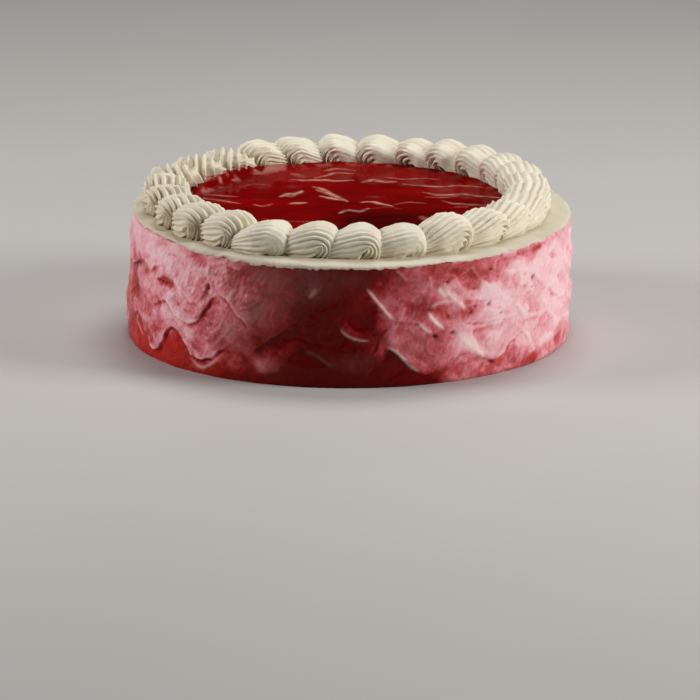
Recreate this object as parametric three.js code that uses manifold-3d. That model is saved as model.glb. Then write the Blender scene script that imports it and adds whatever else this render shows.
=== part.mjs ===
// Strawberry velvet cake, whole and uncut: a round body coated in pink frosting that is combed into
// rows of waves, a thin layer of ivory cream over it, a disc of strawberry jelly, and a ring of
// piped ridged shells. Millimetres, +Z up, origin at the centre of the flat base, -Y is the front.
// Ring angles are counted from the front towards +X.
import * as THREE from 'three';
import Module from 'manifold-3d';

const wasm = await Module();
wasm.setup();

// ---- driving dimensions -------------------------------------------------------------------
const SIDE_R = 114.6;        // mean radius of the combed side near the base
const FOOT_IN = 0.8;         // how far the flat base draws in below it
const RIM_R = 113.2;         // radius of the upper rim
const FOOT_SHIFT = -1.5;     // the foot spreads a little further towards -X than towards +X
const COLUMNS = 72;          // facets round the body and the layers
const GAP = 0.3;             // clearance between touching pieces

const TOP_Z = 66.2;          // height of the cream's top at the middle
const TILT_X = -0.004;       // the top was spread a little off level
const TILT_Y = 0.030;
const BAND = 1.9;            // height of the ivory band that shows at the rim
// height of the line where the pink frosting meets the cream, every 20 degrees from the front
const BAND_Z = [60.8, 61.1, 61.7, 62.9, 62.0, 63.2, 64.8, 66.2, 67.2,
  67.6, 67.8, 67.4, 66.8, 66.0, 65.2, 65.0, 61.8, 60.5];

const WAVES = 18;            // combed waves round the side
const WAVE_PHASE = -1.0;     // angle of the first wave's trough line, in degrees
// each combed row: mean height of its ridge line, half of its rise and fall, how far it stands out
const ROWS = [
  { z: 12.6, swing: 5.8, out: 1.7, undercut: 1.5 },
  { z: 30.0, swing: 6.0, out: 1.3, undercut: 1.3 },
  { z: 44.0, swing: 5.6, out: 1.1, undercut: 1.1 },
];

const LEDGE_R = 107.6;       // the cream is level out to here, then rounds over to the rim
const JELLY_R = 85.5;        // radius of the jelly, its edge lies under the shells
const JELLY_DEPTH = 2.2;     // how far it sinks into the cream
const JELLY_RISE = 1.5;      // how far it stands above the cream
const JELLY_EDGE = 5.0;      // width of its sloping edge

const SHELL_RING_R = 93.0;   // radius of the circle through the shells' middles
const SHELL_RING_X = -1.5;   // the ring's middle lies a little towards -X
const SHELL_HALF_W = 11.2;   // half of a shell's width, across the ring
const SHELL_HEAD = 8.9;      // reach of the fat end
const SHELL_TAIL = 17.5;     // reach of the drawn-out end, tucked under the next shell
const SHELL_PIVOT = 3.0;     // height of the curl's centre
const SHELL_RIDGES = 7;      // ridges left by the star nozzle
const RIDGE = 0.06;          // half depth of the ridges, as a share of the shell's size
const RIDGE_STEPS = [-24, 16, 54, 92, 130, 165, 200]; // turns along a ridge, in degrees
// each shell's place on the ring, in degrees, and its height above the cream
const SHELLS = [
  [-8.1, 15.6], [4.5, 15.2], [18.1, 14.6], [33.2, 16.8], [48.2, 15.0], [60.3, 14.8], [72.3, 14.9],
  [84.1, 15.2], [95.9, 15.8], [108.0, 16.2], [120.0, 16.0], [133.6, 15.2], [146.5, 14.6],
  [157.6, 13.4], [169.9, 13.6], [184.3, 13.4], [198.5, 13.0], [210.8, 12.4], [225.0, 12.4],
  [238.9, 13.2], [252.9, 13.9], [267.0, 14.4], [281.0, 14.9], [295.0, 15.4], [308.6, 16.2],
  [322.7, 16.2], [337.2, 15.0],
];

const PINK = 0xe2a0ac, IVORY = 0xeae4cf, RED = 0x9c0d12;

// ---- helpers ------------------------------------------------------------------------------
const rad = (d) => d * Math.PI / 180;
const smooth = (t) => t * t * (3 - 2 * t);
// a repeatable number in -1..1 for each pair of whole numbers
const vary = (i, k) => { const s = Math.sin(i * 12.9898 + k * 78.233) * 43758.5453; return 2 * (s - Math.floor(s)) - 1; };

// closed curve through evenly spaced values, t in turns
function around(values, t) {
  const n = values.length, f = (((t % 1) + 1) % 1) * n, i = Math.floor(f), u = smooth(f - i);
  return values[i % n] * (1 - u) + values[(i + 1) % n] * u;
}
const bandZ = (deg) => around(BAND_Z, deg / 360);
const lean = (x, y) => TILT_X * x + TILT_Y * y;
const dir = (deg) => [Math.sin(rad(deg)), -Math.cos(rad(deg))];

// one closed solid from rings of COLUMNS points, bottom centre to top centre. The facets of the
// first band can be split along their other diagonal, to match a solid that lies against them.
function ringSolid(rings, bottom, top, otherWay = false) {
  const n = COLUMNS, pos = [...rings.flat(2), ...bottom, ...top], idx = [];
  const b = rings.length * n, t = b + 1;
  for (let j = 0; j < n; j++) {
    const k = (j + 1) % n;
    idx.push(b, k, j);
    for (let i = 0; i + 1 < rings.length; i++) {
      const p = i * n + j, q = i * n + k, r = p + n, s = q + n;
      if (otherWay && i === 0) idx.push(p, q, r, q, s, r);
      else idx.push(p, q, s, p, s, r);
    }
    idx.push(t, (rings.length - 1) * n + j, (rings.length - 1) * n + k);
  }
  const g = new THREE.BufferGeometry();
  g.setAttribute('position', new THREE.Float32BufferAttribute(pos, 3));
  g.setIndex(idx);
  return g;
}
const ring = (f) => Array.from({ length: COLUMNS }, (_, j) => {
  const deg = j * 360 / COLUMNS + WAVE_PHASE, [r, z] = f(deg), [ux, uy] = dir(deg);
  return [r * ux, r * uy, z];
});
// a ring at height h over the leaning top plane
const leaningRing = (r, h) => ring((deg) => {
  const q = typeof r === 'function' ? r(deg) : r, [ux, uy] = dir(deg);
  return [q, TOP_Z + lean(q * ux, q * uy) + h];
});

const toManifold = (g) => new wasm.Manifold(new wasm.Mesh({
  numProp: 3,
  vertProperties: new Float32Array(g.getAttribute('position').array),
  triVerts: new Uint32Array(g.getIndex().array),
}));
function fromManifold(m) {
  const mesh = m.getMesh(), g = new THREE.BufferGeometry();
  g.setAttribute('position', new THREE.Float32BufferAttribute(Float32Array.from(mesh.vertProperties), 3));
  g.setIndex([...mesh.triVerts]);
  return g;
}

const cake = new THREE.Group();
function addPiece(name, geometry, color, roughness) {
  geometry.computeVertexNormals();
  const mesh = new THREE.Mesh(geometry, new THREE.MeshStandardMaterial({ color, roughness, metalness: 0, flatShading: true }));
  mesh.name = name;
  cake.add(mesh);
}

// ---- cake body: combed side, meeting the cream along a shared surface ------------------------
const rimR = (deg) => RIM_R + 0.6 * Math.sin(rad(2 * deg + 40)) + 0.35 * Math.sin(rad(5 * deg));
const ridgeZ = (row, k, deg) => {
  const wave = Math.round((deg - WAVE_PHASE) / 360 * WAVES);
  return row.z + vary(((wave % WAVES) + WAVES) % WAVES, k) * 1.6
    - row.swing * Math.cos((deg - WAVE_PHASE) / 360 * WAVES * 2 * Math.PI);
};
const sideR = (z, deg) => SIDE_R + (RIM_R - SIDE_R) * z / 62 + FOOT_SHIFT * (1 - z / 62) * Math.sin(rad(deg));

const bodyRings = [ring((deg) => [sideR(0, deg) - FOOT_IN, 0])];
ROWS.forEach((row, k) => {
  bodyRings.push(ring((deg) => { const z = ridgeZ(row, k, deg); return [sideR(z, deg) - row.undercut, z - 2.8]; }));
  bodyRings.push(ring((deg) => { const z = ridgeZ(row, k, deg); return [sideR(z, deg) + row.out, z]; }));
});
bodyRings.push(ring((deg) => [rimR(deg) - 0.2, bandZ(deg) - GAP / 2]));
bodyRings.push(leaningRing(100, -6 - GAP / 2));
addPiece('cake_body', ringSolid(bodyRings, [0, 0, 0], [0, 0, TOP_Z - 6 - GAP / 2]), PINK, 0.55);

// ---- cream layer: ivory band at the rim, gently rounded ledge, recess for the jelly -----------
addPiece('cream_top', ringSolid([
  leaningRing(100, -6 + GAP / 2),
  ring((deg) => [rimR(deg) - 0.2, bandZ(deg) + GAP / 2]),
  ring((deg) => [rimR(deg) + 0.1, bandZ(deg) + BAND * 0.55]),
  ring((deg) => [rimR(deg) - 1.3, bandZ(deg) + BAND]),
  leaningRing(LEDGE_R, 0),
  leaningRing(JELLY_R + GAP, 0),
  leaningRing(JELLY_R + GAP, -JELLY_DEPTH - GAP),
], [0, 0, TOP_Z - 6 + GAP / 2], [0, 0, TOP_Z - JELLY_DEPTH - GAP], true), IVORY, 0.5);

// ---- jelly: a shallow disc with a soft swell and a rounded edge -------------------------------
addPiece('jelly', ringSolid([
  leaningRing(JELLY_R, -JELLY_DEPTH),
  leaningRing(JELLY_R, 0),
  leaningRing(JELLY_R - JELLY_EDGE, JELLY_RISE),
], [0, 0, TOP_Z - JELLY_DEPTH], [0, 0, TOP_Z + JELLY_RISE - 0.1]), RED, 0.08);

// ---- piped shells -----------------------------------------------------------------------------
// Each ridge runs in an arc about a pivot line that crosses the shell near its base: up from the
// fat end, over the top and down along the drawn-out end. Sizes vary from shell to shell.
function shellGeometry(i, grow) {
  const [angle, height] = SHELLS[i], [ux, uy] = dir(angle);
  const size = 1 + 0.035 * vary(i, 1), tall = height - SHELL_PIVOT;
  const turn = rad(5 * vary(i, 3)), ringR = SHELL_RING_R + 0.7 * vary(i, 4);
  const reach = [SHELL_HEAD * size, tall * 0.93, tall, tall * 1.14, SHELL_TAIL * size, 12, 6, 7];
  const columns = 2 * SHELL_RIDGES, half = SHELL_HALF_W * size + grow, pos = [], idx = [];
  // s runs along the ring, clockwise from above; w outwards; h up from the cream
  const place = (s, w, h) => {
    const a = s * Math.cos(turn) - w * Math.sin(turn), b = s * Math.sin(turn) + w * Math.cos(turn);
    const x = SHELL_RING_X + (ringR + b) * ux + a * uy, y = (ringR + b) * uy - a * ux;
    // the foot clears the cream, and inwards the sloping edge of the jelly
    const foot = GAP - grow + Math.max(0, JELLY_R + GAP - Math.hypot(x, y)) * (JELLY_RISE + 0.1) / JELLY_EDGE;
    const z = Math.max(h ?? foot, foot);
    pos.push(x, y, z);
  };
  place(0, half, SHELL_PIVOT);
  for (let v = 1; v < columns; v++) {
    const alpha = Math.PI * v / columns, ridge = v % 2 ? 1 + RIDGE : 1 - RIDGE;
    const full = Math.sin(alpha) ** 0.66 * ridge;
    RIDGE_STEPS.forEach((step, u) => {
      const phi = rad(step), d = (around(reach, step / 360) + grow) * full;
      const narrow = 1 - 0.14 * Math.max(0, -Math.cos(phi)) * Math.sin(alpha);
      const onFoot = u === 0 || u === RIDGE_STEPS.length - 1;
      place(-d * Math.cos(phi), half * Math.cos(alpha) * narrow, onFoot ? null : SHELL_PIVOT + d * Math.sin(phi));
    });
  }
  place(0, -half, SHELL_PIVOT);
  const n = RIDGE_STEPS.length, last = 1 + (columns - 1) * n;
  for (let u = 0; u < n; u++) {
    const k = (u + 1) % n;
    idx.push(0, 1 + u, 1 + k);
    for (let v = 0; v + 2 < columns; v++) {
      const p = 1 + v * n + u, q = 1 + v * n + k;
      idx.push(p, p + n, q + n, p, q + n, q);
    }
    idx.push(last, last - n + k, last - n + u);
  }
  const g = new THREE.BufferGeometry();
  g.setAttribute('position', new THREE.Float32BufferAttribute(pos, 3));
  g.setIndex(idx);
  return g;
}
SHELLS.forEach((_, i) => {
  // the next shell clockwise was piped over this one's drawn-out end
  const next = (i + SHELLS.length - 1) % SHELLS.length;
  const g = fromManifold(toManifold(shellGeometry(i, 0)).subtract(toManifold(shellGeometry(next, GAP * 1.4))));
  const p = g.getAttribute('position');
  for (let k = 0; k < p.count; k++) p.setZ(k, p.getZ(k) + TOP_Z + lean(p.getX(k), p.getY(k)));
  addPiece('shell_' + String(i + 1).padStart(2, '0'), g, IVORY, 0.5);
});

export default cake;
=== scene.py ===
"""Looks of the whole strawberry velvet cake: a side combed into waves of pink frosting over a red
ground, an ivory cream layer, glossy strawberry jelly and a ring of piped ridged shells.
Lengths here are in millimetres and turn to metres when a mesh is made. Angles are in degrees from
the front (-Y) towards +X."""
import math

import bpy
import numpy as np
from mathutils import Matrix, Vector


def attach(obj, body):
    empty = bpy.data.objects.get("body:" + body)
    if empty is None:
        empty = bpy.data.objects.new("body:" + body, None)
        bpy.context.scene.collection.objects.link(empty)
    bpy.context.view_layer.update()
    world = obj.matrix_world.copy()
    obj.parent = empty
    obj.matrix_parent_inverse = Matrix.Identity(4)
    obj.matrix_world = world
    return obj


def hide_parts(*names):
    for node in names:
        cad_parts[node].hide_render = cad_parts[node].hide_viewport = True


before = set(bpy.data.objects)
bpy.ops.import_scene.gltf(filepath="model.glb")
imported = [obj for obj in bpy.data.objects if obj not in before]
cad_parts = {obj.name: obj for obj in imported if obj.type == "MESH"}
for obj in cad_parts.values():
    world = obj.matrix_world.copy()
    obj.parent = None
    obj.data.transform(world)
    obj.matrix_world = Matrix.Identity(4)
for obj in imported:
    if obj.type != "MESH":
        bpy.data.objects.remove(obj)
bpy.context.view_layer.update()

# ---- sizes, the same as the solids' ---------------------------------------------------------
SIDE_R, RIM_R, FOOT_SHIFT = 114.6, 113.2, -1.5
TOP_Z, TILT_X, TILT_Y = 66.2, -0.004, 0.030
BAND_Z = [60.8, 61.1, 61.7, 62.9, 62.0, 63.2, 64.8, 66.2, 67.2,
          67.6, 67.8, 67.4, 66.8, 66.0, 65.2, 65.0, 61.8, 60.5]
LEDGE_R = 107.6
JELLY_R, JELLY_DEPTH, JELLY_RISE = 85.5, 2.2, 1.5
RING_R, RING_X = 93.0, -1.5
SHELL_HALF_W, SHELL_HEAD, SHELL_TAIL, SHELL_PIVOT = 11.2, 8.9, 17.5, 3.0
SHELLS = [
    (-8.1, 15.6), (4.5, 15.2), (18.1, 14.6), (33.2, 16.8), (48.2, 15.0), (60.3, 14.8), (72.3, 14.9),
    (84.1, 15.2), (95.9, 15.8), (108.0, 16.2), (120.0, 16.0), (133.6, 15.2), (146.5, 14.6),
    (157.6, 13.4), (169.9, 13.6), (184.3, 13.4), (198.5, 13.0), (210.8, 12.4), (225.0, 12.4),
    (238.9, 13.2), (252.9, 13.9), (267.0, 14.4), (281.0, 14.9), (295.0, 15.4), (308.6, 16.2),
    (322.7, 16.2), (337.2, 15.0),
]
MM_PER_DEG = 2.0             # along the side, near enough all the way up


# ---- small helpers --------------------------------------------------------------------------
def clamp(x, a=0.0, b=1.0):
    return np.clip(x, a, b)


def step(a, b, x):
    t = clamp((np.asarray(x, float) - a) / (b - a))
    return t * t * (3 - 2 * t)


def vary(i, k):
    s = math.sin(i * 12.9898 + k * 78.233) * 43758.5453
    return 2 * (s - math.floor(s)) - 1


def around(values, t):
    """Closed curve through evenly spaced values, t in turns."""
    v = np.asarray(values, float)
    n = len(v)
    f = (np.asarray(t, float) % 1.0) * n
    i = np.floor(f).astype(int)
    u = f - i
    u = u * u * (3 - 2 * u)
    return v[i % n] * (1 - u) + v[(i + 1) % n] * u


def flowing(values, t):
    """Closed smooth (Catmull-Rom) curve through evenly spaced values, t in turns."""
    v = np.asarray(values, float)
    n = len(v)
    f = (np.asarray(t, float) % 1.0) * n
    i = np.floor(f).astype(int)
    u = f - i
    a, b, c, d = v[(i - 1) % n], v[i % n], v[(i + 1) % n], v[(i + 2) % n]
    return b + 0.5 * u * (c - a + u * (2 * a - 5 * b + 4 * c - d + u * (3 * (b - c) + d - a)))


def lean(x, y):
    return TILT_X * x + TILT_Y * y


def _hash(ix, iy, iz, seed):
    n = (ix * 1619 + iy * 31337 + iz * 52591 + seed * 6971) & 0x7FFFFFFF
    n = ((n >> 13) ^ n) & 0x7FFFFFFF
    m = (n * n & 0x7FFFFFFF) * 15731 + 789221
    n = ((n * (m & 0x7FFFFFFF)) + 1376312589) & 0x7FFFFFFF
    return 1.0 - n / 1073741824.0


def noise3(x, y, z, seed=0):
    """Smooth value noise in -1..1 over a unit lattice."""
    x, y, z = np.broadcast_arrays(np.asarray(x, float), y, z)
    ix, iy, iz = (np.floor(a).astype(np.int64) for a in (x, y, z))
    fx, fy, fz = x - ix, y - iy, z - iz
    fx, fy, fz = (f * f * f * (f * (f * 6 - 15) + 10) for f in (fx, fy, fz))
    out = 0
    for dx in (0, 1):
        for dy in (0, 1):
            for dz in (0, 1):
                w = (fx if dx else 1 - fx) * (fy if dy else 1 - fy) * (fz if dz else 1 - fz)
                out = out + w * _hash(ix + dx, iy + dy, iz + dz, seed)
    return out


def wrapped(u, v, period, seed=0):
    """Value noise in -1..1 that repeats every `period` units of u."""
    u, v = np.broadcast_arrays(np.asarray(u, float), v)
    iu, iv = np.floor(u).astype(np.int64), np.floor(v).astype(np.int64)
    fu, fv = u - iu, v - iv
    fu, fv = (f * f * f * (f * (f * 6 - 15) + 10) for f in (fu, fv))
    out = 0
    for du in (0, 1):
        for dv in (0, 1):
            w = (fu if du else 1 - fu) * (fv if dv else 1 - fv)
            out = out + w * _hash((iu + du) % period, iv + dv, np.int64(7), seed)
    return out


def round_noise(deg, z, size_s, size_z, seed, shear=0.0, octaves=2):
    """Noise wrapped round the side, cells size_s by size_z millimetres, leaning by shear."""
    out, gain, total = 0, 1.0, 0
    for k in range(octaves):
        period = max(2, round(360 * MM_PER_DEG / size_s * 2 ** k))
        u = (deg * MM_PER_DEG + shear * z) / (360 * MM_PER_DEG) * period
        out = out + gain * wrapped(u, z / size_z * 2 ** k, period, seed + k)
        total += gain
        gain *= 0.55
    return out / total


def grid_faces(rows, cols, closed):
    """Quads of a rows x cols grid of vertices, round in the column direction if closed."""
    i, j = np.meshgrid(np.arange(rows - 1), np.arange(cols if closed else cols - 1), indexing="ij")
    k = (j + 1) % cols
    q = np.stack([i * cols + j, i * cols + k, (i + 1) * cols + k, (i + 1) * cols + j], -1)
    return q.reshape(-1, 4)


def make_piece(name, verts_mm, quads, tris, material, nodes, fields=None):
    """A smooth mesh piece from vertices in millimetres, standing for CAD nodes."""
    verts = np.asarray(verts_mm, np.float32) * 0.001
    quads = np.asarray(quads, np.int32).reshape(-1, 4)
    tris = np.asarray(tris, np.int32).reshape(-1, 3)
    mesh = bpy.data.meshes.new(name)
    mesh.vertices.add(len(verts))
    mesh.vertices.foreach_set("co", verts.ravel())
    loops = np.concatenate([quads.ravel(), tris.ravel()])
    mesh.loops.add(len(loops))
    mesh.loops.foreach_set("vertex_index", loops)
    starts = np.concatenate([np.arange(len(quads)) * 4, len(quads) * 4 + np.arange(len(tris)) * 3])
    mesh.polygons.add(len(starts))
    mesh.polygons.foreach_set("loop_start", starts.astype(np.int32))
    mesh.polygons.foreach_set("use_smooth", np.ones(len(starts), bool))
    mesh.update(calc_edges=True)
    mesh.validate()
    for key, values in (fields or {}).items():
        a = mesh.attributes.new(key, "FLOAT", "POINT")
        a.data.foreach_set("value", np.asarray(values, np.float32).ravel())
    mesh.materials.append(material)
    obj = bpy.data.objects.new(name, mesh)
    bpy.context.scene.collection.objects.link(obj)
    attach(obj, "root")
    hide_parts(*nodes)
    return obj


# ---- materials ------------------------------------------------------------------------------
class Graph:
    """Short hand for a node material."""

    def __init__(self, name):
        self.material = bpy.data.materials.new(name)
        self.material.use_nodes = True
        self.tree = self.material.node_tree
        self.tree.nodes.clear()
        self.out = self.add("ShaderNodeOutputMaterial")
        self.shader = self.add("ShaderNodeBsdfPrincipled")
        self.link(self.shader.outputs[0], self.out.inputs["Surface"])
        self.coords = self.add("ShaderNodeTexCoord").outputs["Object"]

    def add(self, kind, **settings):
        node = self.tree.nodes.new(kind)
        for k, v in settings.items():
            setattr(node, k, v)
        return node

    def link(self, a, b):
        self.tree.links.new(a, b)

    def put(self, socket, value):
        if hasattr(value, "is_linked") or hasattr(value, "links"):
            self.link(value, socket)
        else:
            socket.default_value = value

    def field(self, name):
        return self.add("ShaderNodeAttribute", attribute_name=name).outputs["Fac"]

    def noise(self, scale, detail=2.0, rough=0.5, stretch=None, distort=0.0):
        node = self.add("ShaderNodeTexNoise")
        node.inputs["Scale"].default_value = scale
        node.inputs["Detail"].default_value = detail
        node.inputs["Roughness"].default_value = rough
        node.inputs["Distortion"].default_value = distort
        source = self.coords
        if stretch is not None:
            mapping = self.add("ShaderNodeMapping")
            mapping.inputs["Scale"].default_value = stretch
            self.link(source, mapping.inputs["Vector"])
            source = mapping.outputs[0]
        self.link(source, node.inputs["Vector"])
        return node.outputs["Fac"]

    def math(self, op, a, b, c=None, clamped=False):
        node = self.add("ShaderNodeMath", operation=op, use_clamp=clamped)
        for k, v in enumerate((a, b, c)):
            if v is not None:
                self.put(node.inputs[k], v)
        return node.outputs[0]

    def ramp(self, fac, stops, smooth=False):
        node = self.add("ShaderNodeValToRGB")
        if smooth:
            node.color_ramp.interpolation = "EASE"
        e = node.color_ramp.elements
        while len(e) < len(stops):
            e.new(0.5)
        for k, (at, color) in enumerate(stops):
            e[k].position = at
            e[k].color = (*color, 1) if len(color) == 3 else color
        self.link(fac, node.inputs["Fac"])
        return node.outputs["Color"]

    def scale(self, value, lo, hi, a=0.0, b=1.0):
        node = self.add("ShaderNodeMapRange")
        node.inputs["From Min"].default_value = a
        node.inputs["From Max"].default_value = b
        node.inputs["To Min"].default_value = lo
        node.inputs["To Max"].default_value = hi
        self.link(value, node.inputs["Value"])
        return node.outputs["Result"]

    def mix(self, fac, a, b, blend="MIX"):
        node = self.add("ShaderNodeMix", data_type="RGBA", blend_type=blend)
        self.put(node.inputs[0], fac)
        self.put(node.inputs[6], a if not isinstance(a, tuple) else (*a, 1))
        self.put(node.inputs[7], b if not isinstance(b, tuple) else (*b, 1))
        return node.outputs[2]

    def bump(self, height, strength, distance, normal=None):
        node = self.add("ShaderNodeBump")
        node.inputs["Strength"].default_value = strength
        node.inputs["Distance"].default_value = distance
        self.link(height, node.inputs["Height"])
        if normal is not None:
            self.link(normal, node.inputs["Normal"])
        return node.outputs[0]

    def set(self, **values):
        names = {"color": "Base Color", "rough": "Roughness", "ior": "IOR", "spec": "Specular IOR Level",
                 "sss": "Subsurface Weight", "sss_radius": "Subsurface Radius", "sss_scale": "Subsurface Scale",
                 "coat": "Coat Weight", "coat_rough": "Coat Roughness", "coat_ior": "Coat IOR",
                 "sheen": "Sheen Weight", "sheen_rough": "Sheen Roughness", "spec_tint": "Specular Tint",
                 "normal": "Normal"}
        for k, v in values.items():
            self.put(self.shader.inputs[names[k]], v)


def frosting_material():
    g = Graph("pink frosting")
    red = g.field("red")
    fine = g.noise(620, 5.0, 0.7)
    patch = g.noise(150, 5.0, 0.65, distort=1.2)
    broad = g.noise(45, 4.0, 0.6, distort=1.5)
    mottle = g.math("ADD", g.scale(fine, -0.16, 0.16), g.scale(broad, -0.10, 0.10))
    mottle = g.math("ADD", mottle, g.scale(patch, -0.17, 0.17))
    calm = g.scale(red, 1.0, 0.30, 0.62, 0.95)          # smoother where the red is deep
    fac = g.math("MULTIPLY_ADD", mottle, calm, red, clamped=True)
    color = g.ramp(fac, [
        (0.00, (0.92, 0.62, 0.65)),
        (0.20, (0.86, 0.45, 0.50)),
        (0.40, (0.74, 0.235, 0.27)),
        (0.58, (0.54, 0.090, 0.098)),
        (0.74, (0.35, 0.034, 0.034)),
        (0.88, (0.23, 0.008, 0.007)),
        (1.00, (0.130, 0.001, 0.001)),
    ])
    color = g.mix(g.field("bright"), color, g.ramp(patch, [(0.35, (0.42, 0.006, 0.004)), (0.65, (0.56, 0.022, 0.010))]))
    # thin greyish film, and painted shadow under the cream band at the front
    color = g.mix(g.field("film_and_shadow"), color, (0.36, 0.17, 0.165))
    # crests: paler frosting with a painted highlight
    color = g.mix(g.field("crest_and_highlight"), color, (1.0, 0.80, 0.74))
    # painted shade in the pits
    color = g.mix(g.field("pit_shade"), color, (0.20, 0.008, 0.014))
    g.set(color=color, rough=g.scale(fac, 0.46, 0.22), ior=1.45, spec=0.12, sss=0.05,
          sss_radius=(1.0, 0.25, 0.2), sss_scale=0.0015)
    n = g.bump(g.noise(900, 4.0, 0.65), 0.40, 0.0003)
    n = g.bump(g.noise(260, 4.0, 0.65), 0.35, 0.0008, n)
    g.set(normal=n)
    return g.material


def cream_material(name, roughness, light, dark, deep):
    """Ivory cream between the colours `dark` and `light`, and `deep` as painted shade in its hollows and on the shaded
    face of the band.
    """
    g = Graph(name)
    painted_shade = g.field("painted_shade")
    tone = g.noise(60, 3.0, 0.5)
    color = g.ramp(tone, [(0.3, dark), (0.7, light)])
    # painted shade in the hollows and on the shaded face of the band
    color = g.mix(g.scale(painted_shade, 0.0, 0.85), color, deep)
    # pink where the band meets the frosting, together with painted shade on the band's face
    color = g.mix(g.field("blush_and_shade"), color, (0.78, 0.38, 0.38))
    color = g.mix(g.field("stain"), color, (0.36, 0.012, 0.008))
    g.set(color=color, rough=g.scale(tone, 0.42, 0.54), ior=1.45, spec=0.35, sss=0.12,
          sss_radius=(1.0, 0.75, 0.5), sss_scale=0.0015)
    n = g.bump(g.noise(700, 4.0, 0.6), 0.25 * roughness, 0.0002)
    n = g.bump(g.noise(180, 3.0, 0.6), 0.20 * roughness, 0.0005, n)
    g.set(normal=n)
    return g.material


def jelly_material():
    g = Graph("strawberry jelly")
    tone = g.noise(22, 4.0, 0.6, stretch=(0.6, 1.6, 1.0), distort=0.6)
    color = g.ramp(tone, [(0.28, (0.13, 0.0008, 0.0008)), (0.5, (0.19, 0.001, 0.001)), (0.74, (0.265, 0.002, 0.0012))])
    color = g.mix(g.field("dark"), color, (0.040, 0.0006, 0.0006))
    # painted reflections along the folds, and the paler thin edge
    color = g.mix(g.field("pale_edge_and_reflection"), color, (0.80, 0.40, 0.32))
    g.set(color=color, rough=0.10, ior=1.40, spec=0.007, spec_tint=(1.0, 0.45, 0.40, 1.0))
    n = g.bump(g.noise(60, 3.0, 0.5, stretch=(0.45, 1.3, 1.0), distort=0.5), 0.10, 0.0012)
    g.set(normal=n)
    return g.material


def floor_material():
    g = Graph("pale floor")
    tone = g.noise(3, 3.0, 0.5)
    g.set(color=g.ramp(tone, [(0.3, (0.52, 0.51, 0.50)), (0.7, (0.55, 0.54, 0.53))]), rough=0.75)
    return g.material


# ---- the combed side --------------------------------------------------------------------------
def rim_r(deg):
    r = np.radians(deg)
    return RIM_R + 0.6 * np.sin(2 * r + math.radians(40)) + 0.35 * np.sin(5 * r)


def band_z(deg):
    return around(BAND_Z, deg / 360)


def side_r(z, deg):
    return SIDE_R + (RIM_R - SIDE_R) * z / 62 + FOOT_SHIFT * (1 - z / 62) * np.sin(np.radians(deg))


# The edges of the combed waves. The lowest row as it was combed across the front; the back
# carries on in the same rhythm.
ROW_C = [
    (-100, 7), (-96, 11.5), (-93, 15.8), (-90, 16.6), (-86.5, 13), (-83, 9.2), (-79, 8.2), (-75.5, 12.5),
    (-72.8, 17.5), (-70, 19.6), (-68, 19), (-66, 15), (-63.6, 10), (-61.4, 7), (-59.5, 5.6), (-57.6, 6.5),
    (-56, 10), (-54.6, 15), (-53, 18.5), (-51, 20.3), (-49.4, 18.4), (-47.5, 14.4), (-45.5, 11), (-43.5, 8.3),
    (-41.5, 7), (-39.5, 7.6), (-37.5, 9.6), (-35.5, 12.6), (-33.8, 15), (-32, 15.8), (-30, 15), (-28, 14.2),
    (-26.5, 12), (-25, 9), (-23.6, 6.4), (-22, 5.3), (-20, 6.2), (-18, 8.6), (-16.2, 12.5), (-14.5, 16.4),
    (-12.6, 19.6), (-11, 19.2), (-9, 17.3), (-7, 14.2), (-5, 11), (-3, 8.4), (-1, 7), (1.5, 6.8), (4, 7.8),
    (6, 10.5), (7.6, 15), (9, 19.2), (10.2, 19.6), (12, 17), (14, 12.8), (16, 8.6), (18, 6.2), (20.4, 5.9),
    (22.5, 7.2), (25, 10.6), (27.5, 13.6), (30, 14.8), (32, 13.6), (34.5, 10.8), (37, 8.6), (39.5, 8.2),
    (42, 10), (44.5, 13.6), (47, 17), (49, 18.3), (51, 16.5), (53, 13), (55.5, 9.8), (58, 8.6), (61, 9),
    (64, 11), (67, 14), (70, 15.4), (73, 14.6), (76, 12), (79, 10), (82, 10.5), (85, 14), (88, 18), (90, 19.4),
    (93, 17), (96, 11), (99, 8)]
ROW_B_RIGHT = [(52, 26), (62, 36), (72, 27), (82, 38), (90, 29), (100, 39)]


def wavy_row(given, first, last, mean, swing, seed):
    """Carries a row on round the back, from the angle `first` to `last`, with uneven waves."""
    rng = np.random.default_rng(seed)
    points = list(given)
    low = given[-1][1] > mean
    at = given[-1][0]
    count = max(2, round((last - first) / 10))
    gap = (last - at) / count
    for k in range(1, count):
        z = mean + (-swing if low else swing) * rng.uniform(0.72, 1.12) + rng.uniform(-1.0, 1.0)
        points.append((at + gap * k + rng.uniform(-1.3, 1.3), z))
        low = not low
    return points


def trace(points, spacing=0.5):
    """Samples a row through its low points and peaks, rounded below and pointed above."""
    out = []
    for (a, za), (b, zb) in zip(points, points[1:]):
        n = max(2, int(abs(b - a) / spacing))
        u = np.arange(n) / n
        if za <= zb:
            g = (1 - np.cos(0.80 * np.pi * u)) / (1 - math.cos(0.80 * math.pi))
            z = za + (zb - za) * g
        else:
            g = (1 - np.cos(0.80 * np.pi * (1 - u))) / (1 - math.cos(0.80 * math.pi))
            z = zb + (za - zb) * g
        out += list(zip(a + (b - a) * u, z))
    out.append(points[-1])
    return np.array(out)


def soft_line(points, spacing=1.0):
    """Catmull-Rom line through (angle, height) points, sampled about every `spacing` mm."""
    p = np.array(points, float) * [MM_PER_DEG, 1]
    p = np.vstack([2 * p[0] - p[1], p, 2 * p[-1] - p[-2]])
    out = []
    for k in range(1, len(p) - 2):
        a, b, c, d = p[k - 1:k + 3]
        n = max(2, int(np.hypot(*(c - b)) / spacing))
        u = (np.arange(n) / n)[:, None]
        out.append(b + 0.5 * u * (c - a + u * (2 * a - 5 * b + 4 * c - d + u * (3 * (b - c) + d - a))))
    out.append(p[-2:-1])
    return np.vstack(out) / [MM_PER_DEG, 1]


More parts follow.
